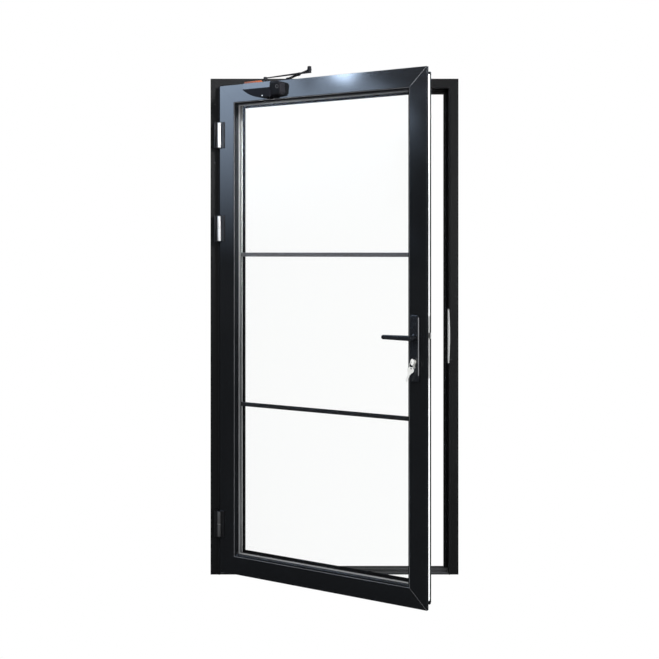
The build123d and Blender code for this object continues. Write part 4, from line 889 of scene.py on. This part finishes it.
@dataclass
class LockFittings(LeafAssembly):
    """What is fixed round the lock: screws, a painted highlight line, neck rings and the
    cylinder's back.
    """

    def build(self) -> None:
        """Make every piece of the group."""
        self.plate_screws()
        self.plate_edge()
        self.neck_rings()
        self.cylinder_back()

    def plate_screws(self) -> None:
        """The two through screws, whose heads are on the back plate."""
        bm = bmesh.new()
        for z in (PLAN.plate_top - 24.0, PLAN.plate_bottom + 24.0):
            at = (PLAN.lock_x, PLAN.leaf_back + PLAN.plate_depth, z)
            screw_into(bm, at, (0.0, 1.0, 0.0), 4.2, Drive.CROSS, 0.4)
        self.add("plate_screws", bm, ZINC, "lock_steel")

    def plate_edge(self) -> None:
        """A painted highlight: a pale line down the rounding of the front plate, on the free side.
        """
        bm = bmesh.new()
        x, y, radius = PLAN.lock_x + 16.0, PLAN.leaf_front - 6.0, 3.04
        arc = [math.radians(a) for a in (12, 30, 48, 66, 84)]
        section = [(x + radius * math.cos(a), y - radius * math.sin(a)) for a in arc]
        ends = (PLAN.plate_bottom + 24.0, PLAN.plate_top - 9.5)
        bridge(bm, *([bm.verts.new((u, v, z)) for u, v in section] for z in ends))
        self.add("plate_edge", bm, PALE_LINE, "handle_black", 40.0)

    def neck_rings(self) -> None:
        """The sleeve rings round the levers' necks."""
        profile = [(8.7, 0.0), (8.7, 2.4), (9.6, 3.0), (11.6, 2.6), (12.4, 1.4), (12.5, -0.1)]
        for side, face in ((Side.FRONT, PLAN.leaf_front), (Side.BACK, PLAN.leaf_back)):
            bm = bmesh.new()
            out = float(side.value)
            at = (PLAN.lock_x, face + out * PLAN.plate_depth, PLAN.lever_z)
            lathe(bm, profile, face_frame(at, (0.0, out, 0.0)), 48)
            self.add(f"neck_ring_{side.name.lower()}", bm, HANDLE, "handle_black", 40.0)

    def cylinder_back(self) -> None:
        """The cylinder's plug and keyway on the back, and its fixing screw at the edge."""
        bm = bmesh.new()
        x, y, z = PLAN.lock_x, PLAN.leaf_back + 10.5, PLAN.cylinder_z
        frame = face_frame((x, y, z), (0.0, 1.0, 0.0))
        lathe(bm, [(0.0, 0.55), (5.0, 0.5), (5.4, 0.2), (5.4, -0.1)], frame, 40)
        self.add("back_plug_face", bm, NICKEL, "cylinder_nickel")
        slot = bmesh.new()
        bevelled_box(slot, (x - 1.1, y + 0.3, z - 3.9), (x + 1.1, y + 0.62, z + 3.9))
        self.add("back_keyway", slot, SEAM, "cylinder_nickel")
        edge = bmesh.new()
        at = (PLAN.faceplate_x, PLAN.faceplate_y, z - 19.0)
        screw_into(edge, at, (1.0, 0.0, 0.0), 2.6, Drive.HEX, 0.2)
        self.add("cylinder_screw", edge, ZINC, "lock_steel")


def add_sleeves(group: Assembly, end: str, low: float, high: float) -> None:
    """Sleeve one half of every hinge's barrel: light grey for its bright metal and painted
    highlight, darker on the lowest hinge as painted shade.

    Args:
        group: The group that takes the sleeves.
        end: Which half, which starts their names.
        low: Where the half starts, from the hinge's middle.
        high: Where it ends.
    """
    profile = [(6.5, low), (6.9, low), (7.12, low + 0.4), (7.12, high - 0.4), (6.9, high),
               (6.5, high)]
    # The lowest hinge gets a darker copy of the barrel's grey: painted shade.
    darkened, bright = PLAN.hinge_heights[:1], PLAN.hinge_heights[1:]
    for part, heights, finish in (
        ("sleeves", bright, BARREL), ("painted_shade_sleeve", darkened, SHADED_BARREL),
    ):
        bm = bmesh.new()
        for height in heights:
            frame = Matrix.Translation((PLAN.hinge_x, PLAN.hinge_y, height))
            lathe(bm, profile, frame, 48)
        group.add(f"{end}_{part}", bm, finish, "hinge_black")


@dataclass
class HingeFittings(LeafAssembly):
    """Screws on the hinges' wings, and the sleeves over the upper barrels."""

    def build(self) -> None:
        """Make every piece of the group."""
        add_sleeves(self, "upper", PLAN.barrel_gap, PLAN.barrel_half)
        bm = bmesh.new()
        for height in PLAN.hinge_heights:
            for z in (height - 38.0, height - 14.0, height + 14.0, height + 38.0):
                at = (PLAN.wing_x, PLAN.leaf_front - 5.0, z)
                screw_into(bm, at, (0.0, -1.0, 0.0), 3.1, Drive.HEX, 0.25)
        self.add("leaf_wing_screws", bm, HINGE, "hinge_black")


@dataclass
class HingeFrameFittings(Assembly):
    """Screws on the hinges' blocks on the jamb, and the sleeves over the lower barrels."""

    def build(self) -> None:
        """Make every piece of the group."""
        add_sleeves(self, "lower", -PLAN.barrel_half, -PLAN.barrel_gap)
        bm = bmesh.new()
        for height in PLAN.hinge_heights:
            for z in (height - 34.0, height + 34.0):
                at = (PLAN.block_x, PLAN.hinge_y + 2.0, z)
                screw_into(bm, at, (0.0, -1.0, 0.0), 2.4, Drive.HEX, 0.2)
        self.add("block_screws", bm, HINGE, "hinge_black")


@dataclass
class CloserFittings(LeafAssembly):
    """What shows on the closer's housing: its strip, its mark and the spindle's lower cap."""

    def build(self) -> None:
        """Make every piece of the group."""
        self.top_strip()
        self.cap_ring()
        self.bottom_cap()

    def top_strip(self) -> None:
        """The plain coloured strip along the housing's top."""
        bm = bmesh.new()
        front, top = PLAN.closer_front, PLAN.closer_top
        low = (PLAN.closer_x0 + 4.0, front + 8.0, top - 0.02)
        bevelled_box(bm, low, (PLAN.spindle_x - 14.0, front + 9.4, top + 6.6), 0.4)
        self.add("top_strip", bm, AMBER, "closer_plastic")

    def cap_ring(self) -> None:
        """The round mark on the front of the end cap."""
        bm = bmesh.new()
        at = (PLAN.closer_joint + 34.0, PLAN.closer_front + 4.6, PLAN.cap_ring_z)
        frame = face_frame(at, (0.0, -1.0, -0.158))
        lathe(bm, [(5.6, -0.3), (5.8, 0.5), (7.2, 0.55), (7.6, -0.3)], frame, 40)
        self.add("cap_ring", bm, BAR_GREY, "closer_plastic")

    def bottom_cap(self) -> None:
        """The cover of the spindle's lower cap, and the socket in its middle."""
        at = (PLAN.spindle_x, PLAN.spindle_y, PLAN.closer_low - 5.0)
        frame = face_frame(at, (0.0, 0.0, -1.0))
        bm = bmesh.new()
        socket = [(0.0, -1.4), (2.6, -1.4), (2.6, 0.3), (3.4, 0.45), (5.2, 0.3), (5.6, -0.2)]
        lathe(bm, socket, frame, 36)
        self.add("bottom_cap_socket", bm, ARM, "lock_steel")
        bm = bmesh.new()
        lathe(bm, [(5.4, 0.1), (7.2, 0.12), (8.6, -0.5), (9.15, -2.0), (9.15, -4.98)], frame, 40)
        self.add("bottom_cap_cover", bm, ARM, "closer_plastic", 50.0)


@dataclass
class ShoeFittings(Assembly):
    """The closer shoe's screws on the head."""

    def build(self) -> None:
        """Make every piece of the group."""
        bm = bmesh.new()
        y = PLAN.frame_front - 4.0
        for x in (PLAN.shoe_x - 25.0, PLAN.shoe_x + 25.0):
            screw_into(bm, (x, y, PLAN.shoe_z + 9.0), (0.0, -1.0, 0.0), 3.8, Drive.CROSS, 0.4)
            screw_into(bm, (x, y, PLAN.shoe_z + 21.0), (0.0, -1.0, 0.0), 3.0, Drive.HEX, 0.3)
        self.add("screws", bm, ZINC, "lock_steel")


# Stage


@dataclass(frozen=True)
class SoftBox:
    """An area light.

    Attributes:
        name: Its name.
        at: Where it stands, in metres.
        look: Where it points, in metres.
        size: Its width and height, in metres.
        power: Its power, in watts.
        colour: Its colour.
        glossy: Whether shiny surfaces show it.
        spread: The width of its beam, in degrees.
    """

    name: str
    at: Point
    look: Point
    size: tuple[float, float]
    power: float
    colour: RGB = (1.0, 1.0, 1.0)
    glossy: bool = True
    spread: float = 180.0

    def build(self) -> bpy.types.Object:
        """Make the light.

        Returns:
            The light's object.
        """
        data = bpy.data.lights.new(self.name, "AREA")
        data.shape = "RECTANGLE"
        data.size, data.size_y = self.size
        data.energy = self.power
        data.color = self.colour
        data.spread = math.radians(self.spread)
        lamp = put_in_scene(self.name, data)
        lamp.location = self.at
        lamp.rotation_mode = "QUATERNION"
        lamp.rotation_quaternion = (Vector(self.look) - Vector(self.at)).to_track_quat("-Z", "Y")
        lamp.visible_camera = False
        lamp.visible_transmission = False
        lamp.visible_glossy = self.glossy
        return lamp


@dataclass(frozen=True)
class SkyPanel:
    """A card that only shiny surfaces see: pale above, falling to nothing below.

    Attributes:
        name: Its name.
        at: Its middle, in metres.
        face: The way that it faces.
        size: Its width and height, in metres.
        colour: Colour at its brightest.
        strength: Strength at its brightest.
        soft: Height over which it fades, as a share of its height.
        fade: Where across it starts to fade, where it has faded, and by how much.
        patches: Soft clouds as (across, up, half width, half height, added strength).
    """

    name: str
    at: Point
    face: Point
    size: tuple[float, float]
    colour: RGB
    strength: float
    soft: float = 0.5
    fade: tuple[float, float, float] = (0.0, 0.0, 0.0)
    patches: tuple[Patch, ...] = ()

    def build(self) -> bpy.types.Object:
        """Make the card.

        Returns:
            The card's object.
        """
        bm = bmesh.new()
        w, h = self.size[0] / 2, self.size[1] / 2
        add_face(bm, ((-w, -h, 0.0), (w, -h, 0.0), (w, h, 0.0), (-w, h, 0.0)))
        mesh = free_to_mesh(bm, self.name)
        card = put_in_scene(self.name, mesh)
        card.location = self.at
        card.rotation_mode = "QUATERNION"
        card.rotation_quaternion = Vector(self.face).to_track_quat("Z", "Y")
        material, tree = new_material(self.name)
        tree.nodes.remove(tree.nodes["Principled BSDF"])
        places = add_node(tree, "ShaderNodeTexCoord", {}).outputs["Object"]
        split = add_node(tree, "ShaderNodeSeparateXYZ", {"Vector": places})
        rise = (-h, -h + 2 * h * self.soft)
        level = self.ease(tree, split.outputs["Y"], rise, (0.0, self.strength))
        start, stop, share = self.fade
        if share > 0:
            across = self.ease(tree, split.outputs["X"], (stop, start), (1.0 - share, 1.0))
            level = add_node(tree, "ShaderNodeMath", {
                0: level, 1: across,
            }, operation="MULTIPLY").outputs["Value"]
        for patch in self.patches:
            level = add_node(tree, "ShaderNodeMath", {
                0: level, 1: self.cloud(tree, places, patch),
            }, operation="ADD").outputs["Value"]
        level = add_node(tree, "ShaderNodeMath", {
            0: level, 1: 0.0,
        }, operation="MAXIMUM").outputs["Value"]
        glow = add_node(tree, "ShaderNodeEmission", {
            "Color": (*self.colour, 1.0), "Strength": level,
        })
        set_sockets(tree, tree.nodes["Material Output"], {"Surface": glow.outputs["Emission"]})
        mesh.materials.append(material)
        card.visible_camera = False
        card.visible_diffuse = False
        card.visible_transmission = False
        card.visible_shadow = False
        return card

    @staticmethod
    def ease(tree: Any, value: Any, given: Sequence[float], made: Sequence[float]) -> Any:
        """Ease a value from one range to another.

        Args:
            tree: The card's node tree.
            value: The value's socket.
            given: The value's start and end.
            made: What it becomes at them.

        Returns:
            The eased level.
        """
        return add_node(tree, "ShaderNodeMapRange", {
            "Value": value, "From Min": given[0], "From Max": given[1],
            "To Min": made[0], "To Max": made[1],
        }, interpolation_type="SMOOTHSTEP").outputs["Result"]

    @staticmethod
    def cloud(tree: Any, places: Any, patch: Patch) -> Any:
        """Make one soft patch with an uneven edge.

        Args:
            tree: The card's node tree.
            places: The card's own coordinates.
            patch: The patch as (across, up, half width, half height, added strength).

        Returns:
            The patch's level.
        """
        across, up, width, height, strength = patch
        own = add_node(tree, "ShaderNodeMapping", {
            "Vector": places, "Location": (across, up, 0.0), "Scale": (width, height, 1.0),
        }, vector_type="TEXTURE").outputs["Vector"]
        length = add_node(tree, "ShaderNodeVectorMath", {0: own}, operation="LENGTH")
        uneven = add_node(tree, "ShaderNodeTexNoise", {"Vector": own, "Scale": 2.2, "Detail": 3.0})
        edge = add_node(tree, "ShaderNodeMath", {
            0: uneven.outputs["Fac"], 1: 0.6, 2: length.outputs["Value"],
        }, operation="MULTIPLY_ADD")
        return SkyPanel.ease(tree, edge.outputs["Value"], (1.3, 1.1), (0.0, strength))


@dataclass(frozen=True)
class Stage:
    """The pale floor, the white surroundings, the lights and the camera."""

    camera_at: Point = (0.0, -4.725, 1.366)
    lens: float = 60.5
    shift: tuple[float, float] = (-0.0076, -0.1176)
    floor_half: float = 14.0
    floor_low: float = -0.0005
    lights: tuple[SoftBox, ...] = (
        SoftBox("key", (-2.6, -3.4, 3.6), (0.0, 0.0, 1.1), (2.4, 2.4), 130.0,
                (1.0, 0.99, 0.97), False),
        SoftBox("fill", (3.2, -3.0, 1.6), (0.2, 0.0, 1.0), (2.0, 3.0), 60.0,
                (0.97, 0.99, 1.0), False),
        SoftBox("edge", (2.6, -0.9, 1.1), (0.45, -0.45, 0.8), (0.6, 2.1), 26.0, glossy=False),
        SoftBox("reveal", (1.5, -1.6, 2.7), (-0.42, -0.12, 1.95), (0.4, 0.4), 16.0,
                glossy=False, spread=34.0),
        SoftBox("low_edge", (1.7, -1.0, 0.35), (0.36, -0.5, 0.1), (0.4, 0.5), 9.0, glossy=False),
        SoftBox("back", (0.5, 3.4, 2.8), (0.0, 0.0, 1.1), (2.4, 2.4), 90.0, glossy=False),
    )
    cards: tuple[SkyPanel, ...] = (
        SkyPanel(
            "sky_left", (-5.4, -1.9, 4.4), (0.94, 0.34, 0.0), (4.2, 6.4), (0.60, 0.76, 1.0),
            7.8, 0.345, (0.1, -1.6, 0.48), (
                (-1.12, -1.25, 0.165, 0.26, 30.0),
                (-0.80, -1.25, 0.12, 0.35, -3.2),
                (-2.0, -1.39, 0.84, 0.175, -5.0),
                (-3.15, -1.30, 1.70, 1.30, -3.0),
                (-3.0, -2.35, 1.60, 1.0, -1.7),
                (0.0, -0.15, 2.2, 0.85, -9.0),
                (0.35, 1.25, 1.1, 0.42, 13.0),
            ),
        ),
        SkyPanel(
            "front_card", (2.0, -4.3, 1.45), (-0.4, 0.9, 0.0), (1.7, 2.1), (0.96, 0.98, 1.0),
            5.5, 0.71,
        ),
    )

    def build(self) -> None:
        """Make everything that isn't the door."""
        made = [light.build() for light in self.lights]
        made += [card.build() for card in self.cards]
        made.append(self.floor())
        made.append(self.camera())
        self.surroundings()

    def floor(self) -> bpy.types.Object:
        """A plain pale floor that the lens sees as white."""
        bm = bmesh.new()
        bmesh.ops.create_grid(bm, x_segments=1, y_segments=1, size=self.floor_half)
        mesh = free_to_mesh(bm, "floor")
        floor = put_in_scene("floor", mesh)
        floor.location = (0.0, 0.0, self.floor_low)
        material, tree = new_material("floor")
        shader = tree.nodes["Principled BSDF"]
        set_sockets(tree, shader, {"Base Color": (0.55, 0.55, 0.55, 1.0), "Roughness": 0.8})
        white = add_node(tree, "ShaderNodeEmission", {"Strength": 1.0})
        dark = add_node(tree, "ShaderNodeEmission", {"Strength": 0.02})
        self.by_ray(tree, shader, dark, white, tree.nodes["Material Output"])
        mesh.materials.append(material)
        return floor

    @staticmethod
    def by_ray(tree: Any, light: Any, shiny: Any, lens: Any, out: Any) -> None:
        """Show one shader as light, another to shiny surfaces and a third to the lens.

        Args:
            tree: The node tree.
            light: The shader that lights the door.
            shiny: The shader that shiny surfaces see.
            lens: The shader that the lens sees.
            out: The tree's output.
        """
        paths = add_node(tree, "ShaderNodeLightPath", {})
        shown = light
        for ray, shader in (("Is Glossy Ray", shiny), ("Is Camera Ray", lens)):
            shown = add_node(tree, "ShaderNodeMixShader", {
                "Fac": paths.outputs[ray], 1: shown.outputs[0], 2: shader.outputs[0],
            })
        set_sockets(tree, out, {"Surface": shown.outputs[0]})

    def camera(self) -> bpy.types.Object:
        """The camera that took the picture, level and shifted down."""
        data = bpy.data.cameras.new("camera")
        data.lens = self.lens
        data.sensor_width = 36.0
        data.shift_x, data.shift_y = self.shift
        data.clip_end = 100.0
        camera = put_in_scene("camera", data)
        camera.location = self.camera_at
        camera.rotation_euler = (math.pi / 2, 0.0, 0.0)
        bpy.context.scene.camera = camera
        return camera

    def surroundings(self) -> None:
        """White to the lens, soft grey as light, and dark to shiny surfaces."""
        world = bpy.data.worlds.new("surroundings")
        bpy.context.scene.world = world
        world.use_nodes = True
        tree = world.node_tree
        tree.nodes.clear()
        white, soft, dark = (
            add_node(tree, "ShaderNodeBackground", {"Color": colour, "Strength": strength})
            for colour, strength in (
                ((1.0, 1.0, 1.0, 1.0), 1.0),
                ((0.95, 0.98, 1.0, 1.0), 0.55),
                ((0.9, 0.95, 1.0, 1.0), 0.05),
            )
        )
        self.by_ray(tree, soft, dark, white, add_node(tree, "ShaderNodeOutputWorld", {}))
        bpy.context.scene.view_settings.view_transform = "Standard"
        bpy.context.scene.view_settings.look = "None"


def paint_nodes(nodes: dict[str, bpy.types.Object]) -> None:
    """Give every piece of the construction its finish.

    Args:
        nodes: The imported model's pieces by name.
    """
    for name, piece in nodes.items():
        finish = CAD_FINISHES[name]
        piece.data.materials.clear()
        piece.data.materials.append(finish.build())
        for face in piece.data.polygons:
            face.material_index = 0


def main() -> None:
    """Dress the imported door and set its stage."""
    logging.basicConfig(level=logging.INFO)
    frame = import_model()
    paint_nodes(frame["nodes"])
    groups: Sequence[Assembly] = (
        FrameFittings("frame", "frame"),
        HingeFrameFittings("hinge", "frame"),
        ShoeFittings("shoe", "frame"),
        LeafFittings("leaf", "leaf"),
        LockFittings("lock", "leaf"),
        HingeFittings("hinge", "leaf"),
        CloserFittings("closer", "leaf"),
    )
    for group in groups:
        group.build()
        LOG.info("%s: %d pieces on %s", group.name, len(group.made), group.body)
    Stage().build()


if __name__ == "__main__":
    main()
